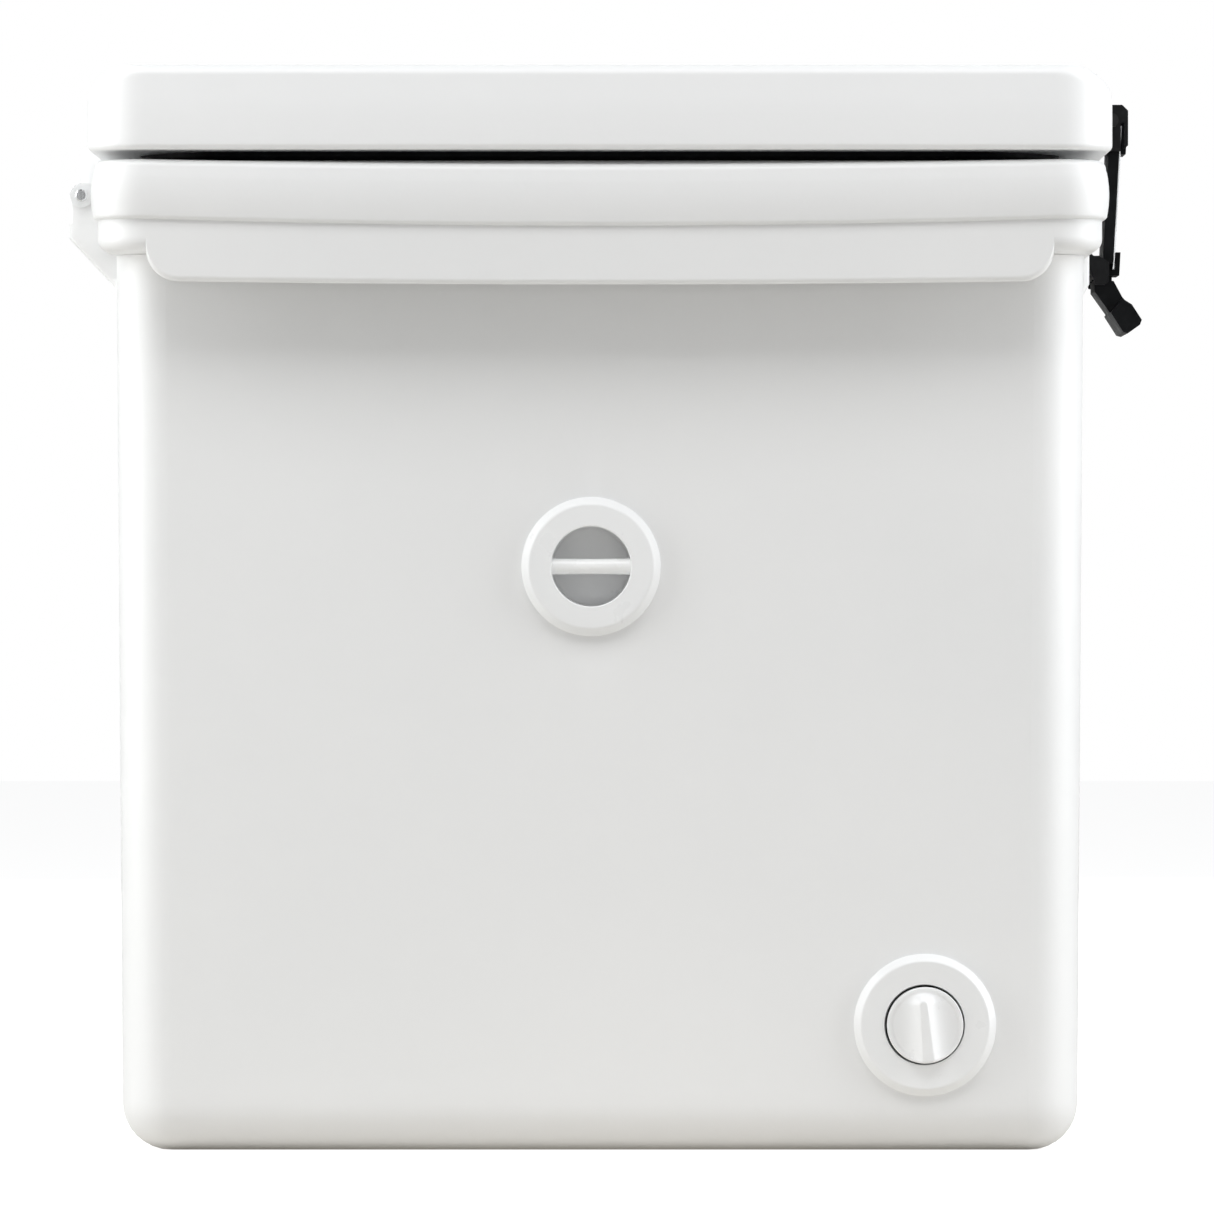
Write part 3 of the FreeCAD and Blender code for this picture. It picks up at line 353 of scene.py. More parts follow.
def dark_material(name, tone, low, high, gloss, rough, inputs, grain):
    """A black material, uneven in tone and gloss; tone and gloss are (cells for each metre, detail)."""
    material, tree, shader = node_tree(name)
    tree.links.new(ramp(tree, noise(tree, *tone), low, high), shader.inputs["Base Color"])
    tree.links.new(scaled(tree, noise(tree, *gloss), *rough), shader.inputs["Roughness"])
    set_inputs(shader, inputs)
    cells, depth, strength = grain
    add_bump(tree, shader, (noise(tree, cells, 2.0), depth, strength))
    return material


def stainless():
    """Brushed steel; the brush marks run along Z."""
    material, tree, shader = node_tree("stainless")
    marks = noise(tree, 900.0, 3.0, (1.0, 1.0, 0.03))
    tree.links.new(ramp(tree, marks, (0.62, 0.63, 0.64), (0.76, 0.77, 0.78)), shader.inputs["Base Color"])
    tree.links.new(scaled(tree, marks, 0.20, 0.34), shader.inputs["Roughness"])
    shader.inputs["Metallic"].default_value = 1.0
    add_bump(tree, shader, (marks, 0.00002, 0.25))
    return material


def closed_foam():
    """Yellowish insulating foam with small closed cells."""
    material, tree, shader = node_tree("closed_foam")
    cells = tree.nodes.new("ShaderNodeTexVoronoi")
    cells.inputs["Scale"].default_value = 700.0
    place = tree.nodes.new("ShaderNodeTexCoord")
    tree.links.new(place.outputs["Object"], cells.inputs["Vector"])
    colour = ramp(tree, cells.outputs["Distance"], (0.80, 0.72, 0.50), (0.62, 0.53, 0.33), 0.1, 0.8)
    tree.links.new(colour, shader.inputs["Base Color"])
    shader.inputs["Roughness"].default_value = 0.85
    add_bump(tree, shader, (cells.outputs["Distance"], 0.0004, 0.6))
    return material


SHELL_WHITE = moulded_white("shell_white", (0.845, 0.850, 0.853), (0.865, 0.868, 0.870), 0.40, 0.1, 0.5)
# The lid is the same white polyethylene as the shell, made a little lighter here: painted light for the
# brighter light on the lid's end face.
LID_WHITE_PAINTED_LIGHT = moulded_white("lid_white_painted_light", (0.885, 0.890, 0.895), (0.900, 0.904, 0.908), 0.40, 0.1, 0.5)
FITTING_WHITE = moulded_white("fitting_white", (0.86, 0.87, 0.875), (0.88, 0.885, 0.89),
                              0.30, 0.015, 0.1, 0.1)
# The bar is the same white plastic as the cup, made lighter here: painted light standing in for the light
# that falls on the bar in the cup's recess.
BAR_WHITE_PAINTED_LIGHT = moulded_white("bar_white_painted_light", (0.940, 0.945, 0.945), (0.950, 0.955, 0.955),
                          0.26, 0.015, 0.1, 0.1)
# The nylon is a little glossier than the rubber; the latch pins and screws are of blackened steel.
RUBBER = dark_material(
    "black_rubber", (90.0, 5.0), (0.0025, 0.0027, 0.0032), (0.0065, 0.0070, 0.0080),
    (240.0, 4.0), (0.42, 0.60), {"IOR": 1.45, "Specular IOR Level": 0.12}, (1400.0, 0.00003, 0.35))
NYLON = dark_material(
    "black_nylon", (140.0, 4.0), (0.0028, 0.0030, 0.0036), (0.0060, 0.0064, 0.0072),
    (500.0, 3.0), (0.28, 0.42), {"IOR": 1.5, "Specular IOR Level": 0.16}, (2200.0, 0.00002, 0.3))
DARK_STEEL = dark_material(
    "black_steel", (260.0, 5.0), (0.0040, 0.0042, 0.0046), (0.014, 0.014, 0.015),
    (260.0, 5.0), (0.34, 0.52), {"Specular IOR Level": 0.3}, (1800.0, 0.00002, 0.3))
STEEL = stainless()
FOAM = closed_foam()


# ---------------------------------------------------------------- turned pieces


def round_corners(points, radius, steps=4):
    """A closed outline in the plane with its corners rounded; radius is one number or one for each."""
    radii = radius if isinstance(radius, (list, tuple)) else [radius] * len(points)
    outline = []
    for i, (point, r) in enumerate(zip(points, radii)):
        here = Vector(point)
        before = Vector(points[i - 1]) - here
        after = Vector(points[(i + 1) % len(points)]) - here
        if r <= 0 or before.length < 1e-6 or after.length < 1e-6:
            outline.append(tuple(here))
            continue
        angle = before.angle(after)
        if angle > math.pi - 0.02:
            outline.append(tuple(here))
            continue
        cut = min(r / math.tan(angle / 2), 0.48 * before.length, 0.48 * after.length)
        start, end = here + before.normalized() * cut, here + after.normalized() * cut
        for step in range(steps + 1):
            share = step / steps
            near = start.lerp(here, share)
            far = here.lerp(end, share)
            outline.append(tuple(near.lerp(far, share)))
    return outline


def lathe(name, profile, centre, outward=-1.0, steps=96, wave=None, ring=False):
    """A piece turned about a line along Y.

    A profile point is (distance inwards, radius), and outward is the sign of Y that points out of
    the wall. wave(angle, depth, radius) may change a radius on the way. A ring's profile is a closed
    outline, so that the piece has a hole right through.
    """
    rows = []
    for depth, radius in profile:
        row = []
        for i in range(steps):
            angle = TURN * i / steps
            r = wave(angle, depth, radius) if wave else radius
            row.append((centre[0] + r * math.cos(angle), centre[1] - outward * depth,
                        centre[2] + r * math.sin(angle)))
        rows.append(row)
    return make_piece(name, *skin(rows, loop=ring))


def circle_row(centre, radius, z, steps):
    """A level ring of points."""
    return [(centre[0] + radius * math.cos(TURN * i / steps),
             centre[1] + radius * math.sin(TURN * i / steps), z) for i in range(steps)]


def block(name, low, high, corner=0.0, steps=4):
    """A box with rounded vertical edges, to cut with."""
    outline = round_corners(
        [(low[0], low[1]), (high[0], low[1]), (high[0], high[1]), (low[0], high[1])], corner, steps)
    return make_piece(name, *skin([[(x, y, z) for x, y in outline] for z in (low[2], high[2])]))


def bevelled(name, node, width, sharp=25.0):
    """A copy of a CAD node with every hard edge rounded."""
    work = bmesh.new()
    work.from_mesh(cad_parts[node].data)
    bmesh.ops.remove_doubles(work, verts=work.verts, dist=2e-6)
    bmesh.ops.dissolve_limit(work, angle_limit=math.radians(0.5), verts=work.verts, edges=work.edges)
    hard = [edge for edge in work.edges
            if len(edge.link_faces) == 2 and edge.calc_face_angle() > math.radians(sharp)]
    bmesh.ops.bevel(work, geom=hard, offset=width * MM, segments=3, profile=0.5,
                    affect="EDGES", clamp_overlap=True)
    return object_from(name, work)


# ---------------------------------------------------------------- chest

Ring = namedtuple("Ring", "half_x half_y corner z sag lip")
END_HALF = RIM_X - RIM_CORNER
RIM_SAG, STEP_SAG = 2.4, 3.5
RIM_BULGE = 1.6
FINGER_INSETS, FINGER_SHARES = (0.0, 0.3, 1.2, 3.0), (0.0, 0.5, 0.85, 1.0)
LIP_FILLET = 2.0


def lip_low(along):
    """Height of the grip lip's lower edge: a slight sag, with a round corner up to the band each side."""
    over = max(0.0, abs(along) - (LIP_HALF - LIP_ROUND))
    sag = LIP_SAG * (1 - (along / LIP_HALF) ** 2)
    return LIP_BOTTOM - sag + LIP_ROUND - math.sqrt(max(0.0, LIP_ROUND ** 2 - over ** 2)) * 0.985


def finger_top(along):
    """Height of the ceiling of the finger pocket behind a grip lip."""
    share = np.interp(FINGER_HALF - abs(along), FINGER_INSETS, FINGER_SHARES)
    return BAND_BOTTOM + share * (FINGER_TOP - BAND_BOTTOM)


def knuckle_out(z):
    """How far out the body's knuckles reach at a height."""
    foot, step, top = 434.0, 460.0, HINGE_Z + KNUCKLE_RADIUS
    out = -HINGE_X + KNUCKLE_RADIUS
    if z > top + 0.02 or z < foot:
        return 0.0
    if z >= HINGE_Z:
        return -HINGE_X + math.sqrt(max(0.0, KNUCKLE_RADIUS ** 2 - (z - HINGE_Z) ** 2))
    return float(np.interp(z, (foot, step), (WALL_X, out)))


def boss_out(z):
    """How far out the bosses behind the latch catches reach at a height."""
    top, bottom, foot = 457.0, 440.5, 424.0
    if z > top + 0.02 or z < foot:
        return 0.0
    return float(np.interp(z, (foot, bottom), (WALL_X - 0.5, BOSS_X)))


def lip_place(step, along):
    """(distance out, height) of one row of the lip and the finger pocket behind it."""
    low, top = lip_low(along), finger_top(along)
    fullness = (BAND_BOTTOM - low) / (BAND_BOTTOM - LIP_BOTTOM)
    outer = 6.0 - 3.0 * fullness
    room = min(1.0, max(0.02, (top - low) / 8.0))
    inner = LIP_FILLET * room
    kind, angle = step
    if kind == "outer":
        return BAND_Y - outer * (1 - math.cos(angle)), low + outer * (1 - math.sin(angle))
    if kind == "inner":
        return LIP_INNER_Y + inner * (1 - math.sin(angle)), low + inner * (1 - math.cos(angle))
    if kind == "ceiling":
        return LIP_INNER_Y - LIP_FILLET * (1 - math.cos(angle)), top - inner * (1 - math.sin(angle))
    return WALL_Y + LIP_FILLET * (1 - math.sin(angle)), top - inner * (1 - math.cos(angle))


def wall_half(z):
    """Half the chest's width at a height; the long walls taper slightly towards the foot."""
    return float(np.interp(z, (30.0, 460.0), (WALL_FOOT_X, WALL_X)))


def tub_rings():
    """From the middle of the tub's floor up to its mouth."""
    for angle in arc(8, RIGHT_ANGLE, 0.0):
        inset = TUB_ROUND * (1 - math.cos(angle))
        yield Ring(TUB_FLOOR_X - inset, TUB_FLOOR_Y - inset, TUB_FLOOR_CORNER - inset,
                   TUB_FLOOR + TUB_ROUND * (1 - math.sin(angle)), 0.0, None)
    low, high = TUB_FLOOR + TUB_ROUND + 4.0, RIM_TOP - TUB_LIP
    for share in (0.0, 0.1, 0.3, 0.6, 0.9, 1.0):
        grow = 6.0 * share
        yield Ring(TUB_FLOOR_X + grow, TUB_FLOOR_Y + grow, TUB_FLOOR_CORNER + 4.0 * share,
                   low + (high - low) * share, 0.0, None)
    for angle in arc(5)[1:]:
        grow = TUB_LIP * (1 - math.cos(angle))
        yield Ring(TUB_X + grow, TUB_Y + grow, TUB_CORNER + grow,
                   RIM_TOP - TUB_LIP * (1 - math.sin(angle)), 0.0, None)


def rim_rings():
    """From the tub's mouth over the flat sealing rim and down its face to the step."""
    for inset, corner in ((46.0, 40.0), (26.0, 38.0), (22.0, 36.0)):
        yield Ring(RIM_X - inset, RIM_Y - inset, corner, RIM_TOP, 0.0, None)
    edge = 4.5
    for angle in arc(6, RIGHT_ANGLE, 0.0):
        inset = edge * (1 - math.cos(angle)) + RIM_BULGE
        yield Ring(RIM_X - inset, RIM_Y - inset, RIM_CORNER - inset,
                   RIM_TOP - edge * (1 - math.sin(angle)), RIM_SAG, None)
    # The heights lie close together at the tops of the round knuckles.
    for z in (490.5, 488.15, 488.0, 487.5, 486.2, 484.2, 481.5, 478.0, 474.0, 470.5):
        inset = RIM_BULGE * ((z - 480.0) / 13.0) ** 2
        sag = float(np.interp(z, (RIM_BOTTOM, RIM_TOP - edge), (STEP_SAG, RIM_SAG)))
        yield Ring(RIM_X - inset, RIM_Y - inset, RIM_CORNER - inset, z, sag, None)
    edge = 2.0
    for angle in arc(4):
        inset = 1.0 + edge * (1 - math.cos(angle))
        yield Ring(RIM_X - inset, RIM_Y - inset, RIM_CORNER - inset,
                   RIM_BOTTOM + edge * (1 - math.sin(angle)), STEP_SAG, None)


def band_rings():
    """The band under the step, the grip lips of the ends and the finger pockets behind them."""
    yield Ring(BAND_X - 0.2, BAND_Y - 0.2, BAND_CORNER - 0.2, RIM_BOTTOM - 0.3, STEP_SAG, None)
    yield Ring(BAND_X, BAND_Y, BAND_CORNER, RIM_BOTTOM - 1.2, STEP_SAG, None)
    for z, sag in ((462.0, 3.0), (460.0, 2.8), (458.3, 2.6)):
        yield Ring(BAND_X, BAND_Y, BAND_CORNER, z, sag, None)
    rounding = 6.0
    for angle in arc(6):
        inset = rounding * (1 - math.cos(angle))
        yield Ring(BAND_X - inset, BAND_Y - inset, BAND_CORNER - inset,
                   BAND_BOTTOM + rounding * (1 - math.sin(angle)), 0.0, ("outer", angle))
    turns = [(kind, angle) for kind, angles in (
        ("inner", arc(3)[::-1]), ("ceiling", arc(2)), ("wall", arc(3)[::-1]),
    ) for angle in angles]
    under_x, under_y, under_corner = BAND_X - rounding, BAND_Y - rounding, BAND_CORNER - rounding
    for i, (kind, angle) in enumerate(turns):
        share = (i + 1) / len(turns)
        out = lip_place((kind, angle), LIP_HALF)[0]
        yield Ring(under_x + (WALL_X - under_x) * share, min(under_y, out),
                   under_corner + (WALL_CORNER - under_corner) * share,
                   BAND_BOTTOM - 0.8 * share, 0.0, (kind, angle))


def wall_rings():
    """Down the walls to the middle of the base."""
    # The upper heights follow the slopes under the bosses and knuckles.
    for z in (447.0, 440.5, 437.0, 434.0, 424.2, 423.8, 380.0, 300.0, 200.0, 100.0, 50.0, 30.0):
        yield Ring(wall_half(z), WALL_Y, WALL_CORNER, z, 0.0, None)
    for angle in arc(8):
        inset = FOOT_ROUND * (1 - math.cos(angle))
        yield Ring(WALL_FOOT_X - inset, WALL_Y - inset, WALL_CORNER - inset,
                   FOOT_ROUND * (1 - math.sin(angle)), 0.0, None)


def shell_point(station, ring):
    """A point of the chest's skin, with its knuckles, catch bosses, grip lips and sagging edges."""
    x, y = on_outline(station, ring.half_x, ring.half_y, ring.corner)
    z = ring.z
    outside = ring.half_x > TUB_X + TUB_LIP
    if outside and station.side == "east":
        out = boss_out(z)
        share = block_share(station.along, LATCH_PLACES.values(), BOSS_HALF)
        x += share * max(0.0, out - x) if out else 0.0
    if outside and station.side == "west":
        out = knuckle_out(z)
        share = block_share(station.along, BODY_KNUCKLES, KNUCKLE_HALF)
        x -= share * max(0.0, out + x) if out else 0.0
    if station.side in ("north", "south"):
        if ring.lip:
            out, z = lip_place(ring.lip, station.along)
            y = math.copysign(out, y)
        z -= ring.sag * (1 - (station.along / END_HALF) ** 2)
    return x, y, z


# Holes are cut by tools that start outside the surface that they go into: by WALL_PAST at the
# end walls and by BASE_PAST at the faces that look down. Depths are from the plain surface.
WALL_PAST, BASE_PAST = 40.0, 5.0
CUP_HOLE_RADIUS, CUP_HOLE_DEPTH = 22.7, 23.5
FLANGE_HOLE_RADIUS, FLANGE_HOLE_DEPTH = 23.1, 8.5
TUBE_HOLE_RADIUS, TUBE_HOLE_DEPTH = 17.1, 60.0
SUMP_HALF, SUMP_START, SUMP_END, SUMP_LOW, SUMP_HIGH, SUMP_CORNER = 30.0, 46.0, 90.0, 36.0, 96.0, 5.0
FILL_HOLE_RADIUS, FILL_HOLE_DEPTH = 15.0, 4.6
ROD_HOLE_RADIUS, ROD_HOLE_HALF = 3.05, 450.0


def cup_hole_tool(sign):
    """The hole that a tie-down cup sits in; sign is that of Y at its end."""
    middle = (CUP_MIDDLE.x, sign * WALL_Y, CUP_MIDDLE.z)
    return lathe("cup_tool", [(-WALL_PAST, CUP_HOLE_RADIUS), (CUP_HOLE_DEPTH, CUP_HOLE_RADIUS)],
                 middle, sign)


def drain_hole_tool():
    """A wide hole for the flange's neck, then a narrow one right through for its tube."""
    return lathe("drain_tool", [
        (-WALL_PAST, FLANGE_HOLE_RADIUS), (FLANGE_HOLE_DEPTH, FLANGE_HOLE_RADIUS),
        (FLANGE_HOLE_DEPTH, TUBE_HOLE_RADIUS), (TUBE_HOLE_DEPTH, TUBE_HOLE_RADIUS),
    ], DRAIN_CENTRE)


def sump_tool():
    """The recess in the tub's floor and end wall that the drain opens into."""
    return block("sump_tool", (DRAIN_MIDDLE.x - SUMP_HALF, -WALL_Y + SUMP_START, SUMP_LOW),
                 (DRAIN_MIDDLE.x + SUMP_HALF, -WALL_Y + SUMP_END, SUMP_HIGH), SUMP_CORNER)


def fill_hole_tool(face):
    """The round hole for a foam-filling plug, in a face that looks down at height face."""
    x, y, reach = FILL_MIDDLE.x, FILL_MIDDLE.y, FILL_HOLE_RADIUS
    return block("fill_tool", (x - reach, y - reach, face - BASE_PAST),
                 (x + reach, y + reach, face + FILL_HOLE_DEPTH), reach, 16)


def rod_hole_tool():
    """The bore for the hinge rod, through every knuckle or arm."""
    return lathe("rod_tool", [(-ROD_HOLE_HALF, ROD_HOLE_RADIUS), (ROD_HOLE_HALF, ROD_HOLE_RADIUS)],
                 HINGE_CENTRE, steps=32)


def make_chest_shell():
    """The chest's two skins, joined over the rim, with the foam's hollow between them."""
    east = spread(softened_steps(LATCH_PLACES.values(), BOSS_HALF), LONG_LAST, LONG_STEP)
    west = spread(softened_steps(BODY_KNUCKLES, KNUCKLE_HALF), LONG_LAST, LONG_STEP)
    corner = {LIP_HALF - LIP_ROUND * (1 - math.sin(angle)) for angle in arc(9)}
    pocket = {FINGER_HALF - inset for inset in FINGER_INSETS}
    ends = spread({s * p for s in (-1, 1) for p in corner | pocket}, LIP_HALF, END_STEP)
    stations = perimeter(east, west, ends)
    rings = [*tub_rings(), *rim_rings(), *band_rings(), *wall_rings()]
    rows = [[shell_point(station, ring) for station in stations] for ring in rings]
    shell = make_piece("chest_shell", *skin(rows))
    carve(
        shell,
        cup_hole_tool(-1),
        cup_hole_tool(1),
        sump_tool(),
        drain_hole_tool(),
        fill_hole_tool(0.0),
        rod_hole_tool(),
    )
    add_hollow(shell, "body_foam")
    return finish_piece(shell, "chest", "white_shell", SHELL_WHITE, ["body_shell"])


# ---------------------------------------------------------------- lid

LID_CROWN_BASE, LID_STEP_BOTTOM = 544.0, 480.0
LID_SIDE_EDGE, LID_END_EDGE, LID_END_LEAN = (22.0, 18.0), (6.0, 6.0), 2.8
LID_DOME = 1.0
STEP_X, STEP_Y, STEP_CORNER, STEP_EDGE, STEP_FILLET = 197.0, 413.0, 30.0, 6.0, 2.0
GASKET_CORNER, GASKET_WIDTH, GROOVE_ROOM, GROOVE_BREAK = 58.0, 14.0, 0.3, 0.6
ARM_TOP, ARM_FLARE = 519.5, 508.0


def end_lean(station, z):
    """How far the lid's end faces lean in at a height; the long sides stay upright."""
    up = max(0.0, z - LID_BOTTOM) / (LID_CROWN_BASE - LID_END_EDGE[1] - LID_BOTTOM)
    return LID_END_LEAN * min(1.0, up) ** 2 * station.normal[1] ** 2


def lid_ring(station, inset, z):
    """A point of the lid's outline, drawn in by inset."""
    inset += end_lean(station, z)
    corner = LID_CORNER - inset if inset < LID_CORNER - 2.0 else 2.0
    x, y = on_outline(station, LID_X - inset, LID_Y - inset, corner)
    return x, y, z


def step_ring(station, inset, z):
    """A point of the insulated step's outline, drawn in by inset."""
    x, y = on_outline(station, STEP_X - inset, STEP_Y - inset, STEP_CORNER - inset)
    return x, y, z


def groove_ring(station, inset, z):
    """A point of the gasket's outline, drawn in by inset."""
    x, y = on_outline(station, GASKET_HIGH.x - inset, GASKET_HIGH.y - inset, GASKET_CORNER - inset)
    return x, y, z


def arm_path():
    """Rows up the lid's edge: pairs of a plain place (inset, z) and the hinge arm's (out, z) there."""
    edge = 3.0
    radius, heel, heel_angle = KNUCKLE_RADIUS, 7.25, math.radians(308.0)
    inner, outer = -HINGE_X - radius, -HINGE_X + radius
    plain, arm = [], []
    plain += [(edge + 0.6, LID_BOTTOM), (edge + 0.4, LID_BOTTOM), (edge + 0.2, LID_BOTTOM)]
    arm += [(inner - 1.0, LID_BOTTOM), (inner - 0.3, LID_BOTTOM - 0.3), (inner, LID_BOTTOM - 1.0)]
    turns = [math.pi + math.pi * i / 10 for i in range(11)]
    for i, angle in enumerate(turns):
        share = i / 10
        plain.append((edge * (1 - math.sin(share * RIGHT_ANGLE)),
                      LID_BOTTOM + edge * (1 - math.cos(share * RIGHT_ANGLE))))
        reach = radius + (heel - radius) * max(0.0, 1 - abs(angle - heel_angle) / 0.6)
        arm.append((-HINGE_X + reach * math.cos(angle), HINGE_Z + reach * math.sin(angle)))
    for z, out, up in ((506.0, outer, 495.0), (508.0, outer, ARM_FLARE - 2.0),
                       (510.0, outer - 0.8, ARM_FLARE + 0.6), (514.0, outer - 6.0, ARM_FLARE + 5.8),
                       (519.0, LID_X + 0.6, ARM_TOP - 0.6), (520.2, LID_X, ARM_TOP + 0.4),
                       (523.5, LID_X, 523.5), (526.0, LID_X, 526.0)):
        plain.append((0.0, z))
        arm.append((out, up))
    return list(zip(plain, arm))


def lid_crown(x, y):
    """Height of the lid's slightly domed top."""
    across, along = x / (LID_X - LID_SIDE_EDGE[0]), y / (LID_Y - LID_END_EDGE[0])
    return LID_CROWN_BASE + LID_DOME * (1 - min(1.0, across ** 2)) * (1 - min(1.0, along ** 2))


def step_rows(stations):
    """From the middle of the step's face, round its edge and up its side to the lid's underside."""
    for angle in arc(5, RIGHT_ANGLE, 0.0):
        inset = STEP_EDGE * (1 - math.cos(angle))
        z = LID_STEP_BOTTOM + STEP_EDGE * (1 - math.sin(angle))
        yield [step_ring(s, inset, z) for s in stations]
    yield [step_ring(s, 0.0, LID_BOTTOM - STEP_FILLET) for s in stations]
    for angle in arc(3)[1:]:
        inset = -STEP_FILLET * (1 - math.cos(angle))
        z = LID_BOTTOM - STEP_FILLET * (1 - math.sin(angle))
        yield [step_ring(s, inset, z) for s in stations]


def groove_rows(stations):
    """Across the gasket's groove, whose edges are broken."""
    top = GASKET_HIGH.z + GROOVE_ROOM
    inner, outer = GASKET_WIDTH + GROOVE_ROOM, -GROOVE_ROOM
    for inset, z in (
        (inner + GROOVE_BREAK, LID_BOTTOM), (inner, LID_BOTTOM + GROOVE_BREAK), (inner, top),
        (outer, top), (outer, LID_BOTTOM + GROOVE_BREAK), (outer - GROOVE_BREAK, LID_BOTTOM),
    ):
        yield [groove_ring(s, inset, z) for s in stations]


def edge_rows(stations):
    """Up the lid's edge, where the hinge arms stand out of the west side."""
    for (inset, z), (out, arm_z) in arm_path():
        row = []
        for station in stations:
            x, y, here = lid_ring(station, inset, z)
            if station.side == "west":
                share = block_share(station.along, LID_ARMS, KNUCKLE_HALF)
                x, here = x + share * (-out - x), here + share * (arm_z - here)
            row.append((x, y, here))
        yield row


def top_rows(stations):
    """Round the lid's upper edge, which is wider along the sides than at the ends, and over the top."""
    for angle in arc(9):
        row = []
        for station in stations:
            share = station.normal[0] ** 2
            deep = LID_END_EDGE[0] + (LID_SIDE_EDGE[0] - LID_END_EDGE[0]) * share
            tall = LID_END_EDGE[1] + (LID_SIDE_EDGE[1] - LID_END_EDGE[1]) * share
            inset = deep * (1 - math.cos(angle))
            row.append(lid_ring(station, inset, LID_CROWN_BASE - tall * (1 - math.sin(angle))))
        yield row
    for inset in (26.0, 34.0, 46.0, 66.0, 96.0, 136.0, 180.0, 225.0):
        places = [lid_ring(station, inset, 0.0) for station in stations]
        yield [(x, y, lid_crown(x, y)) for x, y, _ in places]


def make_lid_moulding():
    """The lid with its step, groove, hinge arms and crown, round its own foam's hollow."""
    west = spread(softened_steps(LID_ARMS, KNUCKLE_HALF), LONG_LAST, LONG_STEP)
    east = spread([], LONG_LAST, LONG_STEP)
    ends = spread([], LIP_HALF, END_STEP)
    stations = perimeter(east, west, ends)
    rows = [*step_rows(stations), *groove_rows(stations), *edge_rows(stations), *top_rows(stations)]
    lid = make_piece("lid_moulding", *skin(rows))
    carve(lid, fill_hole_tool(LID_STEP_BOTTOM), rod_hole_tool())
    add_hollow(lid, "lid_foam")
    # The lid's lighter white is painted light.
    return finish_piece(lid, "lid", "white_shell", LID_WHITE_PAINTED_LIGHT, ["lid_shell"])


def make_gasket():
    """A rubber ring with two soft beads along its lower face."""
    low, high = GASKET_LOW.z, GASKET_HIGH.z
    profile = [(0.0, high - 0.6), (0.0, low + 2.4), (0.4, low + 1.2), (1.3, low + 0.35), (2.8, low),
               (4.3, low + 0.35), (5.5, low + 1.3), (7.0, low + 1.9), (8.5, low + 1.3), (9.7, low + 0.35),
               (11.2, low), (12.7, low + 0.35), (13.6, low + 1.2), (GASKET_WIDTH, low + 2.4),
               (GASKET_WIDTH, high - 0.6), (13.4, high), (0.6, high)]
    sides, ends = spread([], LONG_LAST, GASKET_STEP), spread([], LIP_HALF, GASKET_STEP)
    stations = perimeter(sides, sides, ends, 18)
    rows = [[groove_ring(s, inset, z) for s in stations] for inset, z in profile]
    gasket = make_piece("gasket_ring", *skin(rows, loop=True))
    return finish_piece(gasket, "lid", "black_rubber", RUBBER, ["lid_gasket"], 60.0)


def make_fill_plug(name, node, body):
    """A round cap with a raised rim, pushed into a foam-filling hole."""
    low, high = box_mm(node)
    centre = middle_of(low, high)
    radius, height, wall, web = high.x - centre.x, high.z - low.z, 3.0, 2.0
    profile = round_corners([
        (0.0, 0.0), (radius, 0.0), (radius, height), (radius - wall, height), (radius - wall, web),
        (0.0, web),
    ], [0, 0.8, 0.4, 0.4, 0.8, 0])
    rows = [circle_row(centre, max(r, 0.4), low.z + z, 64) for r, z in profile]
    plug = make_piece(name, *skin(rows))
    return finish_piece(plug, body, "white_shell", SHELL_WHITE, [node])


# ---------------------------------------------------------------- round fittings


def make_tie_down_cup(side, sign):
    """A flanged cup let into the wall: rounded flange, bore, and a flat bottom."""
    flange, face, bore, bottom, outer = 35.0, 6.0, 20.0, 20.0, 22.5
    profile = round_corners([
        (0.0, flange - 0.2), (-1.6, flange), (-face + 0.1, flange - 3.6), (-face, bore),
        (bottom, bore), (bottom, 0.6), (bottom + 2.5, 0.6), (bottom + 2.5, outer), (0.0, outer),
    ], [0.2, 1.2, 2.2, 0.9, 1.5, 0, 0, 0.8, 0.3], 5)
    middle = middle_of(*box_mm(f"tie_down_cup_{side}"))
    cup = lathe(f"tie_cup_{side}", profile, (middle.x, sign * WALL_Y, middle.z), sign, ring=True)
    finish_piece(cup, "chest", "white_fitting", FITTING_WHITE, [f"tie_down_cup_{side}"])


def make_tie_down_bar(side):
    """A round bar across the cup, slightly waisted between its ends."""
    low, high = box_mm(f"tie_down_bar_{side}")
    middle = middle_of(low, high)
    radius, half = (high.z - low.z) / 2, (high.x - low.x) / 2
    stations = [(half, 0.5), (half - 0.5, 0.0), (18.5, 0.0), (17.0, 0.15)]
    waist = [(0.0, 0.35)]
    rows = []
    for along, thinner in [(-x, d) for x, d in stations] + waist + stations[::-1]:
        ring = circle_row((middle.y, middle.z), radius - thinner, middle.x + along, 40)
        rows.append([(x, y, z) for y, z, x in ring])
    bar = make_piece(f"tie_bar_{side}", *skin(rows))
    # The bar's lighter white is painted light.
    finish_piece(bar, "chest", "white_fitting", BAR_WHITE_PAINTED_LIGHT, [f"tie_down_bar_{side}"])


def threaded(pitch, depth_of_thread, first, last):
    """A helical thread as a change of radius, from the first to the last distance inwards."""

    def wave(angle, depth, radius):
        if not first <= depth <= last:
            return radius
        phase = (depth / pitch - angle / TURN) % 1.0
        fade = min(1.0, (depth - first) / pitch, (last - depth) / pitch)
        return radius - depth_of_thread * fade * max(0.0, min(1.0, 2.2 * abs(2 * phase - 1) - 0.6))

    return wave


def off_centre_seat(angle, depth, radius):
    """The plug sits a little low and to the right in its seat, so the seat is shifted the other way."""
    shift, upper_left = 0.35, 0.75 * math.pi
    in_seat = 19.5 < radius < 20.5
    return radius + shift * math.cos(angle - upper_left) if in_seat else radius


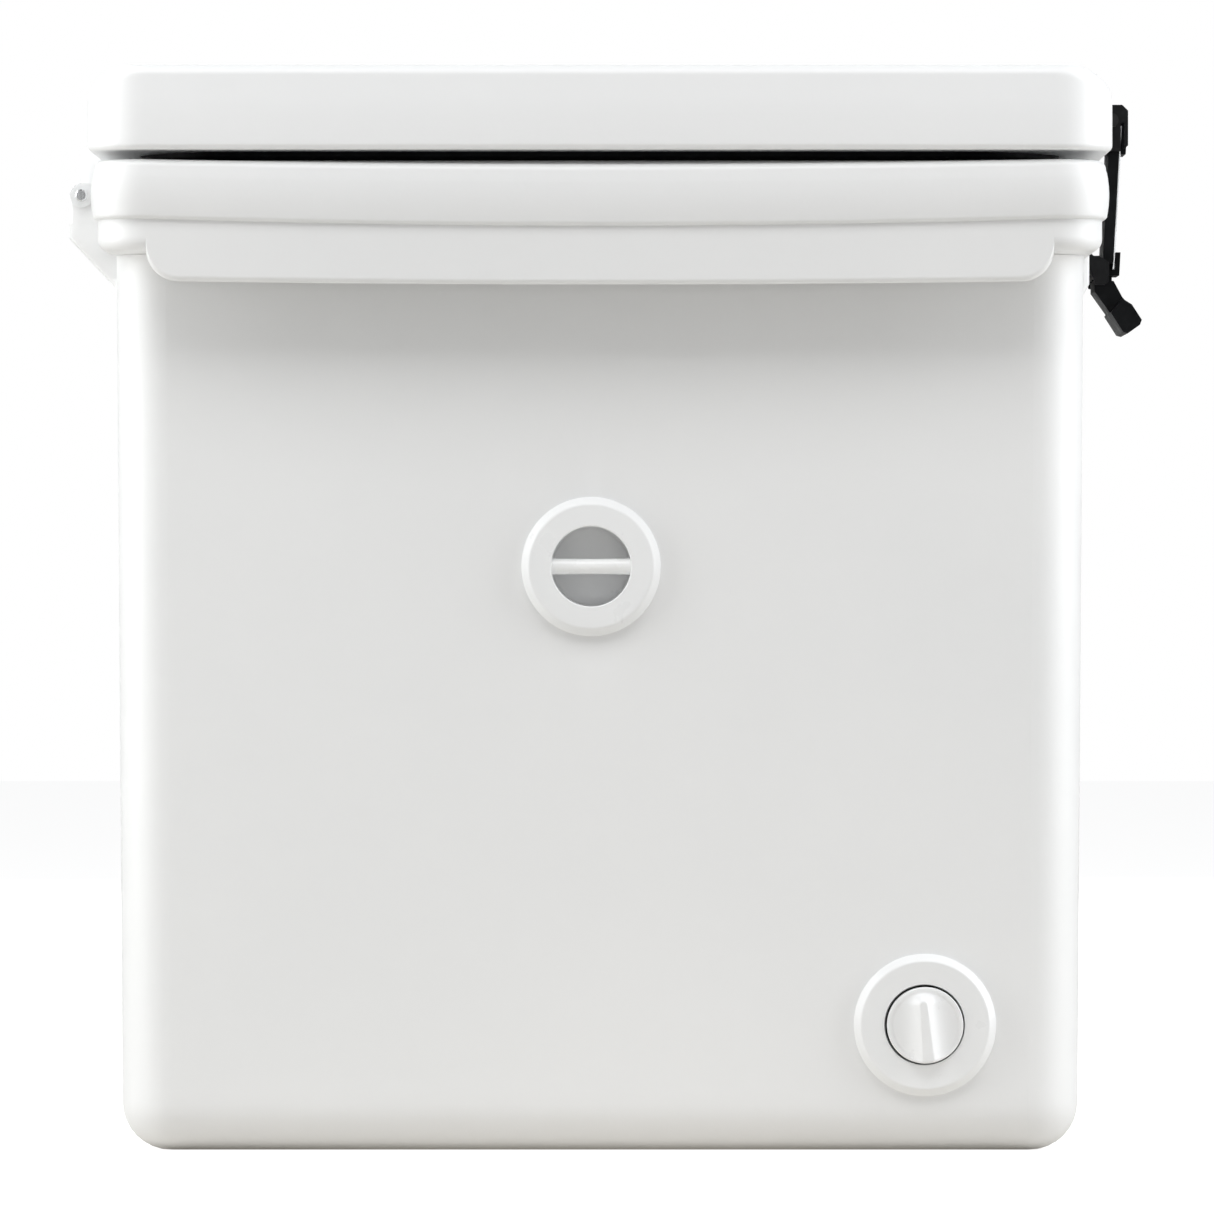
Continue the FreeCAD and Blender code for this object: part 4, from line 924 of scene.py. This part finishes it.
def grip_lobes(angle, depth, radius):
    """Eight round hollows in the nut's edge, for fingers."""
    count, hollow, nut_radius = 8, 3.0, 25.0
    if radius < 20.0:
        return radius
    near = abs((angle / TURN * count + 0.5) % 1.0 - 0.5) / count * TURN * nut_radius
    return radius - hollow * math.sqrt(max(0.0, 1 - (near / hollow) ** 2))


def ring_outline(start, end, inner, outer, radii, steps):
    """The section of a plain ring between two distances inwards."""
    return round_corners([(start, inner), (start, outer), (end, outer), (end, inner)], radii, steps)


def make_drain_fittings():
    """The flange with its tube through the wall, and the washer, nut and plug seal."""
    flange, tube, bore, neck = 35.75, 17.0, 13.5, 23.0
    tube_end, washer_start, nut_start, nut_end = 54.5, 46.0, 47.5, 53.5
    outline = round_corners([
        (0.0, flange - 0.15), (-1.6, flange), (-5.4, 32.2), (-4.75, 20.15), (4.5, 19.9), (4.5, bore),
        (tube_end, bore), (tube_end, tube), (7.5, tube), (7.5, neck), (0.0, neck),
    ], [0.2, 1.3, 1.8, 0.8, 0.5, 0.5, 0.3, 0.8, 0.3, 0.3, 0.3], 5)
    housing = lathe("drain_flange", outline, DRAIN_CENTRE, steps=128, wave=off_centre_seat, ring=True)
    finish_piece(housing, "chest", "white_fitting", FITTING_WHITE, ["drain_housing"])
    nut_outline = ring_outline(nut_start, nut_end, tube + 0.1, 25.0, [0.3, 0.6, 1.6, 0.6], 4)
    nut = lathe("drain_nut", nut_outline, DRAIN_CENTRE, steps=256, wave=grip_lobes, ring=True)
    finish_piece(nut, "chest", "white_fitting", FITTING_WHITE, ["drain_inner_nut"])
    washer_outline = ring_outline(washer_start, nut_start, tube + 0.1, 24.0, 0.4, 3)
    washer = lathe("drain_washer", washer_outline, DRAIN_CENTRE, ring=True)
    finish_piece(washer, "chest", "black_rubber", RUBBER, ["drain_inner_gasket"])
    seal_outline = ring_outline(2.5, 4.4, 13.8, 19.55, 0.7, 4)
    seal = lathe("plug_seal_ring", seal_outline, DRAIN_CENTRE, ring=True)
    finish_piece(seal, "plug_seal", "black_rubber", RUBBER, ["drain_plug_seal"])


def wing_height(u, v, base, crest):
    """Height of the plug's face: a tapered wing with hollow flanks on a shallow dish.

    u runs across the wing and v along it, both from the middle of the head.
    """
    top, bottom = 12.6, -19.5
    share = max(0.0, min(1.0, (v - bottom) / (top - bottom)))
    half = 2.9 - 1.2 * share
    past_top = max(0.0, v - (top - half))
    far = math.hypot(u, past_top)
    run = 13.0 - 6.5 * past_top / max(far, 1e-6)
    fall = max(0.0, 1 - max(0.0, far - half) / run)
    return base + (crest - base) * fall ** 2.6


PLUG_STEPS = 144
PLUG_FACE, PLUG_DISH, PLUG_RADIUS, PLUG_EDGE = 7.0, 1.2, 19.15, 1.2
PLUG_UNDER, PLUG_STUB, PLUG_STUB_END = 2.4, 13.2, 26.0
WING_LEAN = math.radians(5.0)


def plug_row(reach_and_height):
    """A ring of the plug; reach_and_height(angle) gives a radius and a height over the wall."""
    row = []
    for i in range(PLUG_STEPS):
        angle = TURN * i / PLUG_STEPS
        reach, height = reach_and_height(angle)
        row.append((DRAIN_CENTRE[0] + reach * math.cos(angle), DRAIN_CENTRE[1] - height,
                    DRAIN_CENTRE[2] + reach * math.sin(angle)))
    return row


def plug_face_height(angle, reach, crest):
    """Height of the dished face and its wing, which leans WING_LEAN from upright."""
    x, z = reach * math.cos(angle), reach * math.sin(angle)
    across = x * math.cos(WING_LEAN) + z * math.sin(WING_LEAN)
    along = z * math.cos(WING_LEAN) - x * math.sin(WING_LEAN)
    rim = max(0.0, min(1.0, (reach - 16.6) / 1.6))
    base = PLUG_FACE - PLUG_DISH + PLUG_DISH * rim * rim * (3 - 2 * rim)
    return wing_height(across, along, base, crest)


def make_drain_plug():
    """The screw plug, from the middle of its winged face, round its edge and down its thread."""
    crest = -WALL_Y - box_mm("drain_plug")[0].y - 0.1
    reaches = [0.6, 1.2, 2.0] + [3.0 + 0.75 * i for i in range(20)]
    rows = [plug_row(lambda angle: (reach, plug_face_height(angle, reach, crest)))
            for reach in reaches]
    edge_low = PLUG_FACE - PLUG_EDGE
    for bend in arc(5)[1:]:
        out = PLUG_RADIUS - PLUG_EDGE * (1 - math.sin(bend))

        def edge_point(angle):
            tall = plug_face_height(angle, reaches[-1], crest)
            return out, edge_low + (tall - edge_low) * math.cos(bend)

        rows.append(plug_row(edge_point))
    thread = threaded(4.0, 1.1, PLUG_UNDER + 2.0, PLUG_STUB_END - 1.0)
    for height, reach in (
        (edge_low - 2.0, PLUG_RADIUS), (-PLUG_UNDER + 0.3, PLUG_RADIUS),
        (-PLUG_UNDER, PLUG_RADIUS - 0.3), (-PLUG_UNDER, PLUG_STUB + 0.4),
    ):
        rows.append(plug_row(lambda angle: (reach, height)))
    for i in range(57):
        depth = PLUG_UNDER + 0.4 + 0.4 * i
        rows.append(plug_row(lambda angle: (thread(angle, depth, PLUG_STUB), -depth)))
    for short, reach in ((0.5, PLUG_STUB - 0.4), (0.0, PLUG_STUB - 1.5), (0.0, 4.0)):
        rows.append(plug_row(lambda angle: (reach, short - PLUG_STUB_END)))
    plug = make_piece("screw_plug", *skin(rows))
    return finish_piece(plug, "plug", "white_fitting", FITTING_WHITE, ["drain_plug"], 50.0)


# ---------------------------------------------------------------- hinge and latches


def make_hinge_rod():
    """One long rod with chamfered ends."""
    half, radius, chamfer = (ROD_HIGH.y - ROD_LOW.y) / 2, 3.0, 0.6
    profile = [(-half, radius - chamfer), (-half + chamfer, radius), (half - chamfer, radius),
               (half, radius - chamfer)]
    rod = lathe("long_hinge_rod", profile, HINGE_CENTRE, steps=48)
    finish_piece(rod, "chest", "stainless", STEEL, ["hinge_rod"])


def dress(node, material):
    """Give a carried-over CAD node its material."""
    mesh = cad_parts[node].data
    mesh.materials.clear()
    mesh.materials.append(material)


def plate_slot_tool(side):
    """The slot in both cheeks of a latch bracket that the face plate's edges lie behind."""
    plate_high = box_mm(f"latch_plate_{side}")[1]
    low, high = box_mm(f"latch_bracket_{side}")
    top, width, past = plate_high.x + 0.3, 1.9, 2.0
    return block("slot_tool", (top - width, low.y - past, low.z - past),
                 (top, high.y + past, plate_high.z + 0.8))


def catch_chamfer_tool(side):
    """A wedge that takes the lower inner corner off a latch catch."""
    low, high = box_mm(f"latch_catch_{side}")
    deep, tall, past = 3.5, 10.0, 1.0
    corner = [(low.x - past, low.z - past), (low.x + deep + past * deep / tall, low.z - past),
              (low.x - past, low.z + tall + past * tall / deep)]
    return make_piece("chamfer_tool", *skin([[(x, y, z) for x, z in corner]
                                             for y in (low.y - past, high.y + past)]))


def make_latches():
    """Both latches: rounded copies of their CAD nodes, with a few details cut in."""
    for side in LATCH_PLACES:
        body = f"latch_{side}"
        for name, node, carrier, slot, material, width in (
            (f"bracket_{side}", f"latch_bracket_{side}", "lid", "black_nylon", NYLON, 0.7),
            (f"strap_{side}", f"latch_strap_{side}", body, "black_rubber", RUBBER, 1.0),
            (f"face_plate_{side}", f"latch_plate_{side}", body, "stainless", STEEL, 0.25),
            (f"catch_{side}", f"latch_catch_{side}", "chest", "black_nylon", NYLON, 0.5),
        ):
            piece = bevelled(name, node, width)
            if carrier == "lid":
                carve(piece, plate_slot_tool(side))
            if carrier == "chest":
                carve(piece, catch_chamfer_tool(side))
            finish_piece(piece, carrier, slot, material, [node], 50.0)


def dress_carried_nodes():
    dress("body_foam", FOAM)
    dress("lid_foam", FOAM)
    dress("hinge_rod_clips", FITTING_WHITE)
    for side in LATCH_PLACES:
        for node in (f"latch_pin_{side}", f"latch_bracket_screws_{side}", f"latch_catch_screws_{side}"):
            dress(node, DARK_STEEL)


make_chest_shell()
make_lid_moulding()
make_gasket()
make_fill_plug("base_fill_plug", "body_fill_plug", "chest")
make_fill_plug("step_fill_plug", "lid_fill_plug", "lid")
for tie_side, tie_sign in (("left", -1), ("right", 1)):
    make_tie_down_cup(tie_side, tie_sign)
    make_tie_down_bar(tie_side)
make_drain_fittings()
make_drain_plug()
make_hinge_rod()
make_latches()
dress_carried_nodes()


# ---------------------------------------------------------------- floor, light and camera


def for_camera(tree, plain, seen):
    """One colour for light that bounces about, and another for what the picture shows directly.

    The first may be a colour or a node's output.
    """
    rays = tree.nodes.new("ShaderNodeLightPath")
    mix = tree.nodes.new("ShaderNodeMix")
    mix.data_type = "RGBA"
    if isinstance(plain, tuple):
        mix.inputs["A"].default_value = (*plain, 1.0)
    else:
        tree.links.new(plain, mix.inputs["A"])
    mix.inputs["B"].default_value = (*seen, 1.0)
    tree.links.new(rays.outputs["Is Camera Ray"], mix.inputs["Factor"])
    return mix.outputs["Result"]


def glow_round_chest(tree):
    """The colour of light that the floor adds close to the chest, fading with distance."""
    place = tree.nodes.new("ShaderNodeTexCoord")
    mapping = tree.nodes.new("ShaderNodeMapping")
    mapping.inputs["Scale"].default_value = (1.0 / (WALL_X * MM), 1.0 / (WALL_Y * MM), 1.0)
    reach = tree.nodes.new("ShaderNodeVectorMath")
    reach.operation = "LENGTH"
    fade = tree.nodes.new("ShaderNodeMapRange")
    set_inputs(fade, {"From Min": 1.0, "From Max": 1.9, "To Min": 1.0, "To Max": 0.0})
    glow = tree.nodes.new("ShaderNodeVectorMath")
    glow.operation = "SCALE"
    glow.inputs[0].default_value = (0.13, 0.122, 0.108)
    tree.links.new(place.outputs["Object"], mapping.inputs["Vector"])
    tree.links.new(mapping.outputs["Vector"], reach.inputs[0])
    tree.links.new(reach.outputs["Value"], fade.inputs["Value"])
    tree.links.new(fade.outputs["Result"], glow.inputs["Scale"])
    return glow.outputs["Vector"]


def make_floor():
    """A wide pale floor under the chest."""
    half = 9000
    vertices = [(-half, -half, 0), (half, -half, 0), (half, half, 0), (-half, half, 0)]
    floor = make_piece("floor", vertices, [(0, 1, 2, 3)])
    material, tree, shader = node_tree("pale_floor")
    tree.links.new(for_camera(tree, (0.64, 0.62, 0.585), (0.93, 0.93, 0.93)), shader.inputs["Base Color"])
    glow = for_camera(tree, glow_round_chest(tree), (0.76, 0.76, 0.76))
    tree.links.new(glow, shader.inputs["Emission Color"])
    set_inputs(shader, {"Emission Strength": 1.0, "Roughness": 0.9})
    floor.data.materials.append(material)


def make_world():
    """Even grey light from all round, seen as white."""
    world = bpy.data.worlds.new("studio")
    bpy.context.scene.world = world
    world.use_nodes = True
    tree = world.node_tree
    background = tree.nodes["Background"]
    tree.links.new(for_camera(tree, (0.205, 0.207, 0.210), (1.0, 1.0, 1.0)), background.inputs["Color"])
    background.inputs["Strength"].default_value = 1.0


def add_panel(name, place, target, width, height, radiance, colour):
    """A soft rectangular light; radiance is how bright its face looks, with the white floor near 1."""
    light = bpy.data.lights.new(name, "AREA")
    light.shape = "RECTANGLE"
    light.size, light.size_y = width, height
    light.energy = radiance * math.pi * width * height
    light.color = colour
    thing = add_object(name, light)
    thing.location = place
    thing.rotation_mode = "QUATERNION"
    thing.rotation_quaternion = (Vector(target) - Vector(place)).to_track_quat("-Z", "Y")


def make_lights():
    """Two side panels beside the near end, a high one in front, and weaker ones behind and ahead."""
    add_panel("left_panel", (-1.3, -0.68, 0.85), (-0.2, -0.4, 0.35), 0.9, 1.5, 3.85, (0.985, 1.0, 1.0))
    add_panel("right_panel", (1.35, -0.6, 0.85), (0.2, -0.4, 0.35), 0.9, 1.5, 3.85, (0.965, 0.985, 1.0))
    add_panel("top_panel", (0.0, -2.0, 2.9), (0.0, -0.5, 0.3), 2.6, 1.4, 3.75, (1.0, 1.0, 1.0))
    add_panel("back_panel", (-0.2, 3.4, 1.5), (0.0, 0.5, 0.3), 2.0, 1.4, 2.8, (1.0, 1.0, 1.0))
    add_panel("front_panel", (0.5, -6.4, 0.75), (0.1, -0.5, 0.4), 1.4, 1.0, 2.4, (1.0, 1.0, 1.0))


def make_camera():
    """A long lens on the level of the middle of the picture, looking along +Y."""
    near_end = LID_LOW.y * MM
    distance, width_there = 4.4, 0.604
    aside, level = 0.0035, 0.2737
    camera = bpy.data.cameras.new("camera")
    camera.sensor_width = 36.0
    camera.lens = camera.sensor_width * distance / width_there
    thing = add_object("camera", camera)
    thing.location = (aside, near_end - distance, level)
    thing.rotation_euler = (RIGHT_ANGLE, 0.0, 0.0)
    bpy.context.scene.camera = thing


make_floor()
make_world()
make_lights()
make_camera()
bpy.context.scene.view_settings.view_transform = "Standard"
